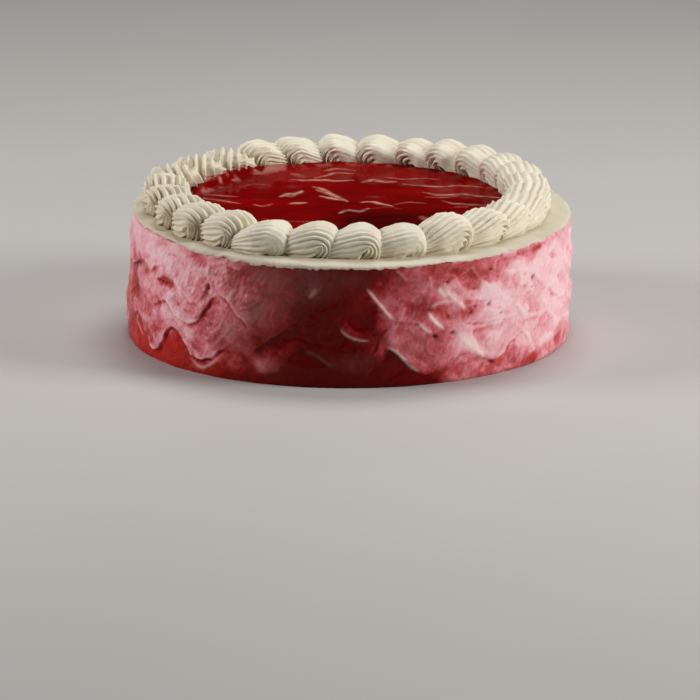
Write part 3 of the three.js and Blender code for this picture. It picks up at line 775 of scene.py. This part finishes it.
# ---- the cream layer --------------------------------------------------------------------------
def build_cream():
    cols = 960
    deg = -180 + 360 * np.arange(cols) / cols
    rad = np.radians(deg)
    # the ragged lower edge, with small teeth and a few drips towards the front left
    teeth = 0.75 * round_noise(deg, 0 * deg, 2.8, 5, 101, octaves=2) + 0.55 * round_noise(deg, 0 * deg, 11, 5, 103)
    nibs = np.maximum(0, round_noise(deg, 0 * deg, 2.0, 5, 107, octaves=1) - 0.1) * 1.4
    nibs *= 0.25 + 0.9 * np.exp(-((deg + 21) / 12) ** 2) + 0.25 * step(0, 1, round_noise(deg, 0 * deg, 60, 5, 108))
    low = band_z(deg) + teeth - nibs
    for at, wide, long in [(-13.2, 0.55, 0.9), (-10.6, 0.7, 0.7), (-8.6, 0.6, 1.1), (1.4, 0.8, 0.5), (14.3, 0.5, 0.5),
                           (-31.5, 0.9, 0.8), (57, 1.2, 0.4), (128, 0.7, 1.0), (196, 0.8, 0.9), (222, 0.6, 0.7)]:
        off = (deg - at + 180) % 360 - 180
        low = low - long * np.exp(-(off / wide) ** 2)
    rim = rim_r(deg)
    ledge = LEDGE_R + 0.35 * np.sin(np.radians(3 * deg + 20))
    lx, ly = ledge * np.sin(rad), -ledge * np.cos(rad)
    ledge_z = TOP_Z + lean(lx, ly)
    rise = ledge_z - low
    rows_r, rows_z = [], []

    def row(r, z):
        rows_r.append(np.broadcast_to(np.asarray(r, float), deg.shape).copy())
        rows_z.append(np.broadcast_to(np.asarray(z, float), deg.shape).copy())

    row(100, TOP_Z - 5.9 + lean(100 * np.sin(rad), -100 * np.cos(rad)))
    row(rim - 1.2, low + 0.9)
    row(rim - 0.5, low + 0.25)
    # the band bulges and rolls over into the ledge
    count = 30
    for k in range(count + 1):
        t = k / count
        a = t * math.pi / 2
        bulge = 0.22 * math.sin(min(1.0, t / 0.22) * math.pi / 2)
        p = 0.80
        rr = ledge + (rim - ledge) * math.cos(a) ** p
        zz = low + rise * math.sin(a) ** (1.15 * p)
        row(rr + bulge * math.cos(a), zz)
    inner = JELLY_R - 2.5
    for r in np.linspace(1, 0, 26)[1:]:
        rr = inner + (ledge - inner) * r
        row(rr, TOP_Z + lean(rr * np.sin(rad), -rr * np.cos(rad)))
    row(inner - 0.6, TOP_Z - 2.6 + lean(inner * np.sin(rad), -inner * np.cos(rad)))
    R, Z = np.array(rows_r), np.array(rows_z)
    D = np.broadcast_to(deg, R.shape)
    A = np.radians(D)
    X, Y = R * np.sin(A), -R * np.cos(A)
    on_top = step(LEDGE_R + 3, LEDGE_R - 2, R) * (np.arange(len(R))[:, None] > 3)
    wave = noise3(X / 14, Y / 14, 0, 5) * 0.36 + noise3(X / 5, Y / 5, 0, 6) * 0.18
    swipe = round_noise(D, R, 24, 1.8, 111, octaves=2) * 0.18
    folds = round_noise(D, R, 9, 14, 113, shear=0.5) * 1.5 * bell(D, -86, 17)
    Z = Z + (wave + swipe + folds) * on_top
    lump = round_noise(D, Z, 7, 3.5, 115) * 0.28 + round_noise(D, Z, 2.4, 1.6, 117) * 0.26
    band = (1 - on_top) * (np.arange(len(R))[:, None] > 1)
    R = R + lump * band
    X, Y = R * np.sin(A), -R * np.cos(A)
    # pink at the ragged lower edge, where the band meets the frosting
    blush_and_shade = clamp(1 - (Z - low) / 1.5) * (0.25 + 0.35 * round_noise(D, Z, 5, 4, 119)) * band
    blush_and_shade = clamp(blush_and_shade, 0, 0.6)
    # painted shade on the face of the band, deepest towards the front; it also turns the band pinker
    face = clamp(1.15 - (Z - low) / (0.62 * rise)) * band
    shade = face * (0.15 + 0.55 * bell(D, -18, 42)) * (0.8 + 0.5 * round_noise(D, Z, 2.2, 1.6, 121))
    blush_and_shade = np.maximum(blush_and_shade, 0.35 * shade)
    verts = np.stack([X, Y, Z], -1).reshape(-1, 3)
    n, rows = cols, len(rows_r)
    all_v = np.vstack([verts, [[0, 0, TOP_Z - 5.9]], [[0, 0, TOP_Z - 2.6]]])
    bottom, top = len(all_v) - 2, len(all_v) - 1
    j = np.arange(n)
    k = (j + 1) % n
    last = (rows - 1) * n
    tris = np.vstack([np.stack([np.full(n, bottom), k, j], -1), np.stack([np.full(n, top), last + j, last + k], -1)])
    pad = lambda f: np.concatenate([f.ravel(), [0, 0]])
    return all_v, grid_faces(rows, n, True), tris, {"painted_shade": pad(clamp(shade)), "blush_and_shade": pad(blush_and_shade),
                                                    "stain": np.zeros(len(all_v))}


# ---- the jelly --------------------------------------------------------------------------------
# Folds where the jelly set unevenly, with pale streaks along them that are painted reflections: points across the top
# (X, Y), half width, height of the fold in mm, and how strong the painted reflection is.
FOLDS = [
    ([(-36.5, 12), (-32.5, 17), (-29, 17.5), (-25.5, 24)], 2.2, 0.50, 0.85),
    ([(-35, 15), (-31, 12.5), (-29, 16)], 1.6, 0.35, 0.6),
    ([(-19.5, 32.5), (-14.5, 27.5), (-10.5, 18), (-6.5, 10), (-2, 3)], 2.0, 0.55, 0.80),
    ([(-16, 13.5), (-11.5, 9), (-7, 6.5), (-2, 3.5)], 1.8, 0.45, 0.75),
    ([(-18, 27), (-13, 21), (-9, 13)], 1.6, 0.30, 0.45),
    ([(-31.5, -2.6), (-27.5, -1), (-23.4, 0.4)], 1.7, 0.40, 0.80),
    ([(-50, -4.6), (-46.5, -7), (-43, -5), (-40.8, -2.4)], 1.3, 0.25, 0.50),
    ([(-77.5, 17), (-70, 14), (-59, 12.5)], 1.3, 0.25, 0.40),
    ([(-78, 8), (-70, 4), (-62, 0), (-57.5, -2)], 1.4, 0.30, 0.50),
    ([(-31, 47), (-24, 45), (-14, 46.5), (-6, 45), (1, 46)], 1.8, 0.35, 0.62),
    ([(-31, 60), (-27.5, 56), (-25, 52)], 3.6, 0.30, 0.22),
    ([(-19, 50), (-12, 57), (-7, 62), (1, 60)], 1.8, 0.30, 0.48),
    ([(-14, 66), (-6, 70), (2, 66)], 2.0, 0.25, 0.40),
    ([(6.5, 43), (12, 47.5), (17, 44), (23, 44.5)], 2.6, 0.45, 0.62),
    ([(18, 53), (28, 50), (38, 51), (46, 50)], 1.4, 0.25, 0.36),
    ([(27.5, 40), (34, 36.5), (46.5, 35), (58, 36), (68.5, 33)], 1.7, 0.35, 0.52),
    ([(38, 22), (45, 17), (57, 18), (69, 13), (78, 10)], 1.9, 0.35, 0.55),
    ([(39, 13), (48, 12.5), (55, 15)], 1.3, 0.20, 0.35),
    ([(47.5, 5), (53, -1), (58, -1), (64, -4), (71, -4)], 1.4, 0.30, 0.42),
    ([(53, -8), (60, -6)], 1.2, 0.20, 0.30),
    ([(5.5, 1.5), (11, 2), (15.5, -2), (21, -6)], 1.9, 0.45, 0.78),
    ([(22, -3), (30, 1), (38, 0)], 1.2, 0.20, 0.22),
    ([(-6, -20), (-1, -15), (4, -17), (9, -12)], 1.8, 0.35, 0.60),
    ([(9, -13), (18, -9), (26, -12)], 1.0, 0.15, 0.10),
    ([(-58, 33), (-50, 37), (-42, 35)], 1.3, 0.2, 0.14),
    ([(36, -27), (40, -33), (45, -34)], 3.5, 0.2, 0.25),
    ([(-45, -30), (-30, -37), (-15, -36)], 1.4, 0.25, 0.10),
    ([(-20, -60), (-4, -64), (10, -62)], 1.6, 0.3, 0.14),
    ([(-40, -52), (-28, -57)], 1.6, 0.3, 0.16),
    ([(30, -55), (42, -50), (52, -43)], 1.6, 0.3, 0.16),
]


def near_line(X, Y, points):
    """Distance in mm from each point to a smooth line through `points`, and how far along it."""
    line = soft_line([(x / MM_PER_DEG, y) for x, y in points], 2.0) * [MM_PER_DEG, 1]
    best = np.full(X.shape, 1e9)
    along = np.zeros(X.shape)
    for k, ((ax, ay), (bx, by)) in enumerate(zip(line, line[1:])):
        ux, uy = bx - ax, by - ay
        t = clamp(((X - ax) * ux + (Y - ay) * uy) / max(ux * ux + uy * uy, 1e-9))
        d2 = (X - ax - t * ux) ** 2 + (Y - ay - t * uy) ** 2
        near = d2 < best
        best = np.where(near, d2, best)
        along = np.where(near, (k + t) / (len(line) - 1), along)
    return np.sqrt(best), along


def build_jelly():
    cols, rings = 460, 100
    deg = -180 + 360 * np.arange(cols) / cols
    rad = np.radians(deg)
    edge = JELLY_R + 0.5 * np.sin(3 * rad + 1) + 0.6 * round_noise(deg, 0 * deg, 12, 5, 131)
    t = np.linspace(1, 0, rings + 1)[:-1] ** 0.9
    R = edge[None, :] * t[:, None]
    A = np.broadcast_to(rad, R.shape)
    X, Y = R * np.sin(A), -R * np.cos(A)
    h = JELLY_RISE * step(0, 7.0, JELLY_R + 0.6 - R)
    # slow swells, then the folds
    inside = step(0, 10, edge[None, :] - R + 3)
    long = noise3(X / 40, Y / 24 + 0.35 * noise3(X / 30, Y / 30, 3, 7), 0, 8)
    short = noise3(X / 15, Y / 9 + 0.5 * noise3(X / 17, Y / 17, 5, 9), 1, 10)
    h = h + (0.28 * long + 0.07 * short) * inside
    pale_edge_and_reflection = np.zeros_like(X)
    bend = 0.9 * noise3(X / 5, Y / 5, 0, 18)
    patchy = 0.65 + 0.45 * noise3(X / 2.6, Y / 2.2, 0, 19)
    # each fold raises the jelly and carries a painted reflection along it
    for points, width, height, pale in FOLDS:
        d, t = near_line(X, Y + bend, points)
        taper = 0.30 + 0.70 * np.sqrt(np.maximum(0, np.sin(np.pi * clamp(t, 0.02, 0.98))))
        d = d / (width * 0.80 * taper)
        h = h + 0.6 * height * taper * np.exp(-(d * 0.8) ** 2) * inside
        pale_edge_and_reflection = np.maximum(pale_edge_and_reflection, pale * np.exp(-d ** 2.6) * patchy)
    # it stands higher against the shells at the back, most at the back left
    climb = 0.3 + 1.0 * step(95, 125, np.abs(deg)) + 3.2 * bell(deg, -127, 30)
    h = h + climb[None, :] * step(77, 83.5, R) * (1 + 0.25 * noise3(X / 7, Y / 7, 0, 20))
    Z = TOP_Z + lean(X, Y) + h
    # the edge paler where it thins over the cream, a faint painted reflection of the shells towards the back, and one
    # darker place near the front
    left = bell(deg, -125, 32)[None, :]
    rim = step(11 + 6 * left, 4, edge[None, :] - R)
    mottled = step(-0.15, 0.65, noise3(X / 4, Y / 5, 0, 14) + 0.5 * noise3(X / 1.8, Y / 2.4, 0, 13))
    pale_edge_and_reflection = np.maximum(pale_edge_and_reflection, rim * mottled * (0.06 + 0.07 * step(-10, 40, Y) + 0.42 * left))
    pale_edge_and_reflection = pale_edge_and_reflection + 0.010 * step(30, 74, Y) * (0.5 + 0.7 * noise3(X / 7, Y / 12, 1, 15))
    pale_edge_and_reflection = clamp(pale_edge_and_reflection, 0, 0.9)
    dark = np.exp(-(((X - 17) / 30) ** 4 + ((Y + 37) / 22) ** 4)) * (0.95 + 0.3 * noise3(X / 6, Y / 4, 0, 16))
    dark = clamp(dark + 0.20 * step(0.2, 0.8, noise3(X / 28, Y / 12, 4, 17)), 0, 0.9)
    under = np.stack([edge * np.sin(rad), -edge * np.cos(rad),
                      TOP_Z - 2.2 + lean(edge * np.sin(rad), -edge * np.cos(rad))], -1)
    verts = np.vstack([under, np.stack([X, Y, Z], -1).reshape(-1, 3),
                       [[0, 0, TOP_Z - 2.2]], [[0, 0, TOP_Z + JELLY_RISE]]])
    n = cols
    bottom, top = len(verts) - 2, len(verts) - 1
    j = np.arange(n)
    k = (j + 1) % n
    last = rings * n
    tris = np.vstack([np.stack([np.full(n, bottom), k, j], -1), np.stack([np.full(n, top), last + j, last + k], -1)])
    pad = lambda f: np.concatenate([f[0], f.ravel(), [0, f[-1].mean()]])
    return verts, grid_faces(rings + 1, n, True), tris, {"pale_edge_and_reflection": pad(pale_edge_and_reflection), "dark": pad(dark)}


# ---- the piped shells -------------------------------------------------------------------------
# Each shell is a ridged rope of cream laid down along the ring: it rises from its drawn-out end,
# rolls over at the head and curls under. Stations along the middle of that rope, from the
# drawn-out end to the curled one, for a shell 15.2 high: place along the ring (clockwise from
# above), height above the cream, room above the middle and half width.
ROPE = np.array([
    (26.5, 0.7, 1.8, 3.6), (21.2, 2.7, 3.5, 7.0), (15.8, 5.0, 4.6, 9.1),
    (10.4, 7.0, 5.3, 10.5), (5.2, 8.5, 5.6, 11.1), (0.8, 9.25, 5.85, 11.3),
    (-2.4, 8.6, 5.6, 11.2), (-4.3, 6.5, 5.0, 10.9), (-4.6, 3.6, 4.6, 10.4),
    (-3.4, 1.1, 4.2, 9.8), (-1.0, -0.7, 3.8, 9.2), (1.8, -1.6, 3.4, 8.6),
])
LOW_END = np.array([
    (26.5, 0.3, 1.4, 3.0), (21.2, 1.7, 3.0, 6.8), (15.8, 3.6, 4.1, 9.2), (10.2, 6.0, 5.0, 10.6), (5.0, 8.1, 5.55, 11.2)])
# Where the sides end below each station: along the foot, then up to the middle of the curl, and
# the same for a side that doesn't curl.
CURLED = np.array([(26.0, -0.9), (21.0, -0.9), (15.5, -0.9), (9.6, -0.9), (4.6, -0.9), (1.9, 0.8),
                   (0.6, 4.2), (0.0, 6.0), (0.4, 5.6), (0.9, 4.2), (1.6, 2.4), (2.4, 0.6)])
PLAIN = np.array([(26.0, -0.9), (21.0, -0.9), (15.5, -0.9), (10.4, -0.9), (6.6, -0.9), (4.4, -0.9),
                  (3.2, -0.9), (2.6, -0.9), (2.4, -0.9), (2.3, -0.9), (2.2, -0.9), (2.2, -0.9)])
WIDE = np.array([(26.0, -0.9), (21.5, -0.9), (17.0, -0.9), (13.2, -0.9), (10.4, -0.5), (8.4, 1.5),
                 (7.0, 3.8), (6.0, 4.8), (5.6, 4.4), (5.6, 3.2), (5.8, 1.8), (6.2, 0.2)])
FINS = {18: (0.9, 0.0), 19: (1.0, 0.05), 20: (1.0, 0.45)}     # ridges standing up as fins: how much, and their lean
SLIDE = {13: -0.5, 14: -2.6, 15: -1.0}      # heads that lie further along the ring than their turn
SCOOP = {22: (2.2, 0.0), 23: (3.0, -1.5), 24: (3.6, -3.0), 25: (3.2, -1.2)}     # hollow at the head, and shift of the curl
QUARTER = 4.2        # ridges from the top to the widest line of the rope
SIDE_RIDGES = 3.0    # and from there to where the sides end
# How each shell came out of the nozzle: depth of its ridges in mm, how sharp their crests are
# (1 sharp, 0 round), how far the curl opens in mm on the outer and on the inner face, width of the
# drawn-out end (1 full), twist of the ridges along the rope, and how far they have melted together.
LOOK = {
    0: (1.05, 0.55, 2.6, 0.5, 1.00, 0.2, 0.00), 1: (0.95, 0.50, 2.4, 0.5, 1.00, 0.2, 0.04),
    2: (0.80, 0.40, 0.3, 0.4, 1.00, 0.1, 0.15), 3: (1.60, 0.80, 0.5, 0.4, 0.92, 1.5, 0.22),
    4: (1.60, 0.85, 0.5, 0.4, 0.92, 1.3, 0.32), 5: (1.50, 0.80, 0.6, 0.4, 0.95, 0.8, 0.36),
    6: (1.40, 0.75, 0.8, 0.4, 1.00, 0.5, 0.25), 7: (1.30, 0.70, 1.0, 0.4, 1.00, 0.3, 0.20),
    8: (1.20, 0.60, 1.2, 0.6, 1.00, 0.2, 0.15), 9: (1.00, 0.50, 1.2, 0.8, 1.00, 0.2, 0.15),
    10: (1.05, 0.50, 1.4, 0.9, 1.00, 0.1, 0.10), 11: (1.05, 0.50, 1.4, 1.0, 1.00, 0.1, 0.06),
    12: (1.05, 0.50, 1.4, 1.0, 1.00, 0.1, 0.05), 13: (1.10, 0.50, 1.6, 0.8, 1.00, 0.1, 0.05),
    16: (1.60, 0.50, 1.8, 0.2, 0.95, 0.1, 0.00), 17: (2.10, 0.60, 1.8, 0.2, 0.95, 0.1, 0.00),
    18: (2.30, 0.70, 2.0, 0.2, 0.90, 0.0, 0.00), 19: (2.40, 0.75, 2.0, 0.3, 0.90, 0.0, 0.00),
    20: (2.40, 0.80, 2.2, 0.4, 0.90, 0.1, 0.00), 21: (2.30, 0.80, 2.4, 0.4, 0.90, 0.1, 0.00),
    22: (1.90, 0.80, 2.6, 0.4, 0.90, 0.2, 0.00),
    23: (1.60, 0.85, 3.2, 0.5, 0.86, 0.2, 0.00), 24: (1.40, 0.80, 3.8, 0.5, 0.86, 0.2, 0.00),
    25: (1.40, 0.80, 4.0, 0.5, 0.84, 0.2, 0.00), 26: (1.00, 0.55, 0.3, 0.5, 0.92, 0.1, 0.04),
}


def spline(rows, u):
    """Catmull-Rom through evenly spaced rows of numbers, u in 0..1."""
    p = np.vstack([2 * rows[0] - rows[1], rows, 2 * rows[-1] - rows[-2]])
    f = np.clip(np.asarray(u, float), 0, 1) * (len(rows) - 1)
    i = np.minimum(f.astype(int), len(rows) - 2)
    t = (f - i)[:, None]
    a, b, c, d = p[i], p[i + 1], p[i + 2], p[i + 3]
    return b + 0.5 * t * (c - a + t * (2 * a - 5 * b + 4 * c - d + t * (3 * (b - c) + d - a)))


def build_shell(i):
    angle, height = SHELLS[i]
    depth, sharp, open_out, open_in, tail, twist, melt = LOOK.get(
        i, (1.05 + 0.12 * vary(i, 7), 0.55, 1.8 + 0.8 * vary(i, 8), 0.25, 0.97, 0.15 * vary(i, 6), 0.06))
    size = 1 + 0.035 * vary(i, 1)
    turn = math.radians(5 * vary(i, 3))
    ring_r = RING_R + 0.7 * vary(i, 4)
    k = height / 15.2

    def place(s, t):
        """Where a point `s` along the ring and `t` outwards from it lies on the cake."""
        a = s * math.cos(turn) - t * math.sin(turn)
        b = s * math.sin(turn) + t * math.cos(turn)
        th = math.radians(angle) - a / ring_r
        return RING_X + (ring_r + b) * np.sin(th), -(ring_r + b) * np.cos(th)

    far = (angle + 180) % 360 - 180
    back = float(step(95, 150, abs(far)))
    rope = ROPE.copy()
    rope[:5] += (LOW_END - rope[:5]) * back      # the ends lie lower at the back
    rope[:, [1, 2]] *= k
    rope[:, [3]] *= size
    rope[:3, 3] *= np.array([tail * tail, tail, (1 + tail) / 2])
    rope[:, 0] += 0.5 * vary(i, 11)
    nu = 84
    u = np.linspace(0, 1, nu)
    S = spline(rope, u)
    C, Rn, Rw = S[:, 0:2], S[:, 2], S[:, 3]
    curl_out, curl_in = clamp(open_out / 1.6, 0.2, 1.0), clamp(open_in / 1.0, 0.0, 1.0)
    E_out = spline(PLAIN * (1 - curl_out) + CURLED * [1, k] * curl_out, u)
    inside = CURLED * (1 - back) + WIDE * back
    E_in = spline(PLAIN * (1 - curl_in) + inside * [1, k] * curl_in, u)
    scoop, shift = SCOOP.get(i, (0.0, 0.0))
    E_out[:, 0] += shift * step(0.35, 0.6, u)
    T = np.gradient(C, axis=0)
    T /= np.linalg.norm(T, axis=1, keepdims=True)
    Nn = np.stack([T[:, 1], -T[:, 0]], -1)
    per = 7
    half = QUARTER + SIDE_RIDGES
    q = np.linspace(-half, half, int(2 * half * per) + 1)
    bottom = np.linspace(0.8, -0.8, 3)
    U, Q = np.meshgrid(u, q, indexing="ij")
    outer = step(-0.5, 0.5, Q)
    aq = np.abs(Q)
    beta = np.minimum(aq, QUARTER) * (np.pi / 2 / QUARTER)
    f = clamp((aq - QUARTER) / SIDE_RIDGES)
    at_head = step(0.40, 0.56, U)
    # the sides lean in a little to the foot; on the outer face they bulge and then open into the curl
    gape = at_head * (open_out * outer + open_in * (1 - outer))
    slit = gape * step(0.70, 1.0, f)
    slit = slit * (1 - 0.85 * back * (1 - outer))
    finger = 0.26 * gape * np.exp(-((f - 0.58) / 0.26) ** 2)
    tuck = (0.05 + 0.06 * at_head) * Rw[:, None] * f ** 2 + slit - finger
    up = Rn[:, None] * np.cos(beta)
    slim = 1 - 0.16 * float(bell((angle + 180) % 360 - 180, -98, 20)) * (1 - outer)
    w = Rw[:, None] * slim * np.sin(beta) ** 0.92 - tuck
    P2 = C[:, None, :] + Nn[:, None, :] * (up * (aq < QUARTER))[..., None]
    E = E_in[:, None, :] * (1 - outer[..., None]) + E_out[:, None, :] * outer[..., None]
    P2 = P2 + (E - C[:, None, :]) * f[..., None]
    P = np.stack([P2[..., 0], w * np.sign(Q), P2[..., 1]], -1)
    dq = np.gradient(P, axis=1) * per
    du = np.gradient(P, axis=0)
    N = np.cross(dq, du)
    N /= np.maximum(np.linalg.norm(N, axis=-1, keepdims=True), 1e-9)
    if N[nu // 2, len(q) // 2, 2] < 0:
        N = -N
    room = clamp(np.linalg.norm(dq, axis=-1) / 1.9)
    wobble = 0.25 * noise3(U * 5, Q * 0.35, i * 3.7, 21) + 0.09 * noise3(U * 16, Q * 0.8, i * 5.1, 22)
    blade = float(step(-168, -142, far) * step(-58, -82, far))     # deep ridges all over at the far left
    psi = Q + twist * (U - 0.5) * 2 + wobble + 0.4 * vary(i, 9)
    cycle = np.abs(((psi + 0.5) % 1.0) - 0.5) * 2          # 0 on a crest, 1 in a valley
    rounded = 1 - 2 * cycle ** 2
    pointed = 1 - 2 * cycle ** 0.8
    ridge = rounded * (1 - sharp) + pointed * sharp
    # fins over the top and down the inner side
    much, slant = FINS.get(i, (0.0, 0.0))
    across = much * step(3.4, 1.8, Q) * step(0.0, 0.12, U)
    fx, fy = place(P[..., 0], P[..., 1])
    cross = (fx * math.sqrt(1 - slant ** 2) + (P[..., 2] + 0.26 * fy) * slant) / 4.0 + 0.25 * wobble
    cross = np.abs(((cross + 0.5) % 1.0) - 0.5) * 2
    ridge = ridge * (1 - across) + (1.1 - 2.0 * cross ** 0.7) * across
    room = room * (1 - across) + 0.95 * across
    uneven = 1 + 0.35 * noise3(U * 4, Q * 0.9, i * 2.3, 27)
    strength = depth * room * uneven * (0.75 + 0.25 * step(0.1, 0.4, U)) * (1 + 0.20 * at_head)
    # the inner face is smooth towards the drawn-out end
    strength = strength * (1 - 0.92 * (1 - outer) * step(0.56, 0.42, U) * step(0.2, 1.2, aq) * (0.3 + 0.7 * back) * (1 - blade))
    strength = strength * (1 + 1.3 * (1 - outer) * back * (1 - blade) * step(0.42, 0.52, U) * step(0.8, 2.0, aq) * 0.45)
    strength = strength * (1 - 0.25 * (1 - outer) * back * step(0.45, 0.85, f))
    strength = strength * (1 - 0.5 * blade * (1 - across) * (1 - outer) * step(0.50, 0.36, U))
    # the crown of the shells at the front is nearly smooth, and two of them have a plain end
    front = float(bell(far, 3, 24))
    strength = strength * (1 - 0.75 * front * np.exp(-(aq / 2.4) ** 2))
    if i in (2, 26):
        strength = strength * (1 - 0.85 * step(0.36, 0.50, U))
    # a hollow at the head where the crown has rolled over
    pressed = np.exp(-((U - 0.66) / 0.10) ** 2 - ((Q - 2.6) / 2.0) ** 2)
    if scoop:
        strength = strength * (1 - 0.55 * pressed)
    strength = strength * (1 - clamp(melt * (0.8 + 1.2 * noise3(U * 5, Q * 0.5, i * 2.3, 23)), 0, 0.95))
    lump = 0.50 * noise3(P[..., 0] / 6 + i * 9.1, P[..., 1] / 6, P[..., 2] / 6, 24)
    rough = 0.11 * noise3(P[..., 0] / 1.2 + i * 7.7, P[..., 1] / 1.2, P[..., 2] / 1.2, 25)
    rough = rough + melt * 0.55 * noise3(P[..., 0] / 2.1 + i * 3.3, P[..., 1] / 2.1, P[..., 2] / 2.1, 28)
    P = P + N * (strength * ridge * 0.72 + lump + rough - scoop * pressed)[..., None]
    # painted shade: darker in the valleys between the ridges, near the foot, in the open curl and in the pressed hollow
    # at the head
    painted_shade = clamp(-ridge) * clamp(strength) * 0.65 + 0.55 * step(4.5, 0.2, P[..., 2])
    painted_shade = painted_shade + 0.9 * slit / 4 + 0.16 * scoop * pressed
    # jelly on the inner foot of the shells at the back left
    at = (angle + 180) % 360 - 180
    soak = (0.5 + 3.2 * float(bell(at, -128, 26)) + 0.6 * (abs(at) > 120)) * (1 - outer) * step(2, 5, -P[..., 1])
    stain = step(0.4, -1.2, P[..., 2] - soak * (1.2 + 0.5 * noise3(P[..., 0] / 2.5 + i * 4.4, P[..., 2] / 2, 0, 29)))
    stain = stain * clamp(soak) * (0.75 + 0.35 * noise3(P[..., 0] / 1.5 + i * 4.4, P[..., 2] / 1.5, 3, 30))

    # join the two sides underneath
    B = P[:, -1:, :] * (bottom[None, :, None] * 0.5 + 0.5) + P[:, :1, :] * (0.5 - bottom[None, :, None] * 0.5)
    P = np.concatenate([P, B], 1)
    painted_shade = np.concatenate([painted_shade, np.repeat(painted_shade[:, -1:], 3, 1)], 1)
    stain = np.concatenate([stain, np.repeat(stain[:, :1], 3, 1)], 1)
    rows, cols = P.shape[:2]
    ends = np.array([P[0].mean(0), P[-1].mean(0)])
    V = np.vstack([P.reshape(-1, 3), ends])
    x, y = place(V[:, 0] + SLIDE.get(i, 0.0) * step(20, 9, V[:, 0]), V[:, 1])
    z = np.maximum(V[:, 2], -0.7) + TOP_Z + lean(x, y)
    quads = grid_faces(rows, cols, True)
    j = np.arange(cols)
    n = (j + 1) % cols
    p0, p1 = len(V) - 2, len(V) - 1
    tris = np.vstack([np.stack([np.full(cols, p0), n, j], -1),
                      np.stack([np.full(cols, p1), (rows - 1) * cols + j, (rows - 1) * cols + n], -1)])
    verts = np.stack([x, y, z], -1)
    painted_shade = np.concatenate([clamp(painted_shade).ravel(), [0.2, 0.2]])
    # make sure that the faces look outwards
    t = quads[(rows // 3) * cols + len(q) // 2]
    if np.cross(verts[t[1]] - verts[t[0]], verts[t[2]] - verts[t[0]])[2] < 0:
        quads, tris = quads[:, ::-1], tris[:, ::-1]
    stain = np.concatenate([clamp(stain).ravel(), [0, 0]])
    return verts, quads, tris, {"painted_shade": painted_shade, "blush_and_shade": np.zeros(len(verts)), "stain": stain}


frosting = frosting_material()
# the last colour of each cream is its painted shade colour
cream = cream_material("ivory cream", 1.6, (0.72, 0.67, 0.535), (0.62, 0.57, 0.44), (0.50, 0.41, 0.27))
piped = cream_material("piped ivory cream", 0.8, (0.86, 0.81, 0.68), (0.80, 0.735, 0.59), (0.54, 0.425, 0.225))
jelly = jelly_material()

v, q, t, f = build_side()
make_piece("frosted_side", v, q, t, frosting, ["cake_body"], f)
v, q, t, f = build_cream()
make_piece("cream_layer", v, q, t, cream, ["cream_top"], f)
v, q, t, f = build_jelly()
make_piece("strawberry_jelly", v, q, t, jelly, ["jelly"], f)
for i in range(len(SHELLS)):
    v, q, t, f = build_shell(i)
    make_piece("piped_%02d" % (i + 1), v, q, t, piped, ["shell_%02d" % (i + 1)], f)

# ---- floor, light and camera ------------------------------------------------------------------
mesh = bpy.data.meshes.new("floor")
half = 6.0
mesh.from_pydata([(-half, -half, 0), (half, -half, 0), (half, half, 0), (-half, half, 0)], [], [(0, 1, 2, 3)])
floor = bpy.data.objects.new("floor", mesh)
mesh.materials.append(floor_material())
bpy.context.scene.collection.objects.link(floor)

world = bpy.data.worlds.new("studio")
bpy.context.scene.world = world
world.use_nodes = True
world.node_tree.nodes["Background"].inputs["Color"].default_value = (1.0, 0.97, 0.94, 1)
world.node_tree.nodes["Background"].inputs["Strength"].default_value = 0.035


def softbox(name, place, aim, size, watts, color=(1, 1, 1)):
    light = bpy.data.lights.new(name, "AREA")
    light.shape = "RECTANGLE"
    light.size, light.size_y = size
    light.energy = watts
    light.color = color
    obj = bpy.data.objects.new(name, light)
    obj.location = place
    obj.rotation_euler = (Vector(aim) - Vector(place)).to_track_quat("-Z", "Y").to_euler()
    bpy.context.scene.collection.objects.link(obj)


softbox("overhead", (0.15, 0.45, 1.25), (0, 0, 0.04), (0.7, 0.5), 8.2, (1.0, 0.98, 0.95))
softbox("right", (1.25, -0.36, 0.62), (0, 0, 0.04), (0.5, 0.6), 15.0, (1.0, 0.98, 0.95))
softbox("left", (-1.25, -0.12, 0.62), (0, 0, 0.04), (0.5, 0.6), 10.4, (1.0, 0.97, 0.96))
softbox("back strip", (0.05, 1.80, 0.98), (0, 0, 0.07), (1.2, 0.18), 1.2, (1.0, 0.98, 0.95))

camera = bpy.data.cameras.new("camera")
camera.sensor_width = 36
camera.lens = 238.3
camera.clip_end = 50
cam = bpy.data.objects.new("camera", camera)
cam.location = (-0.00052, -2.3287, 0.6136)
cam.rotation_euler = (math.radians(74.99), 0, 0)
bpy.context.scene.collection.objects.link(cam)
bpy.context.scene.camera = cam
bpy.context.scene.view_settings.view_transform = "Standard"

bpy.context.view_layer.update()
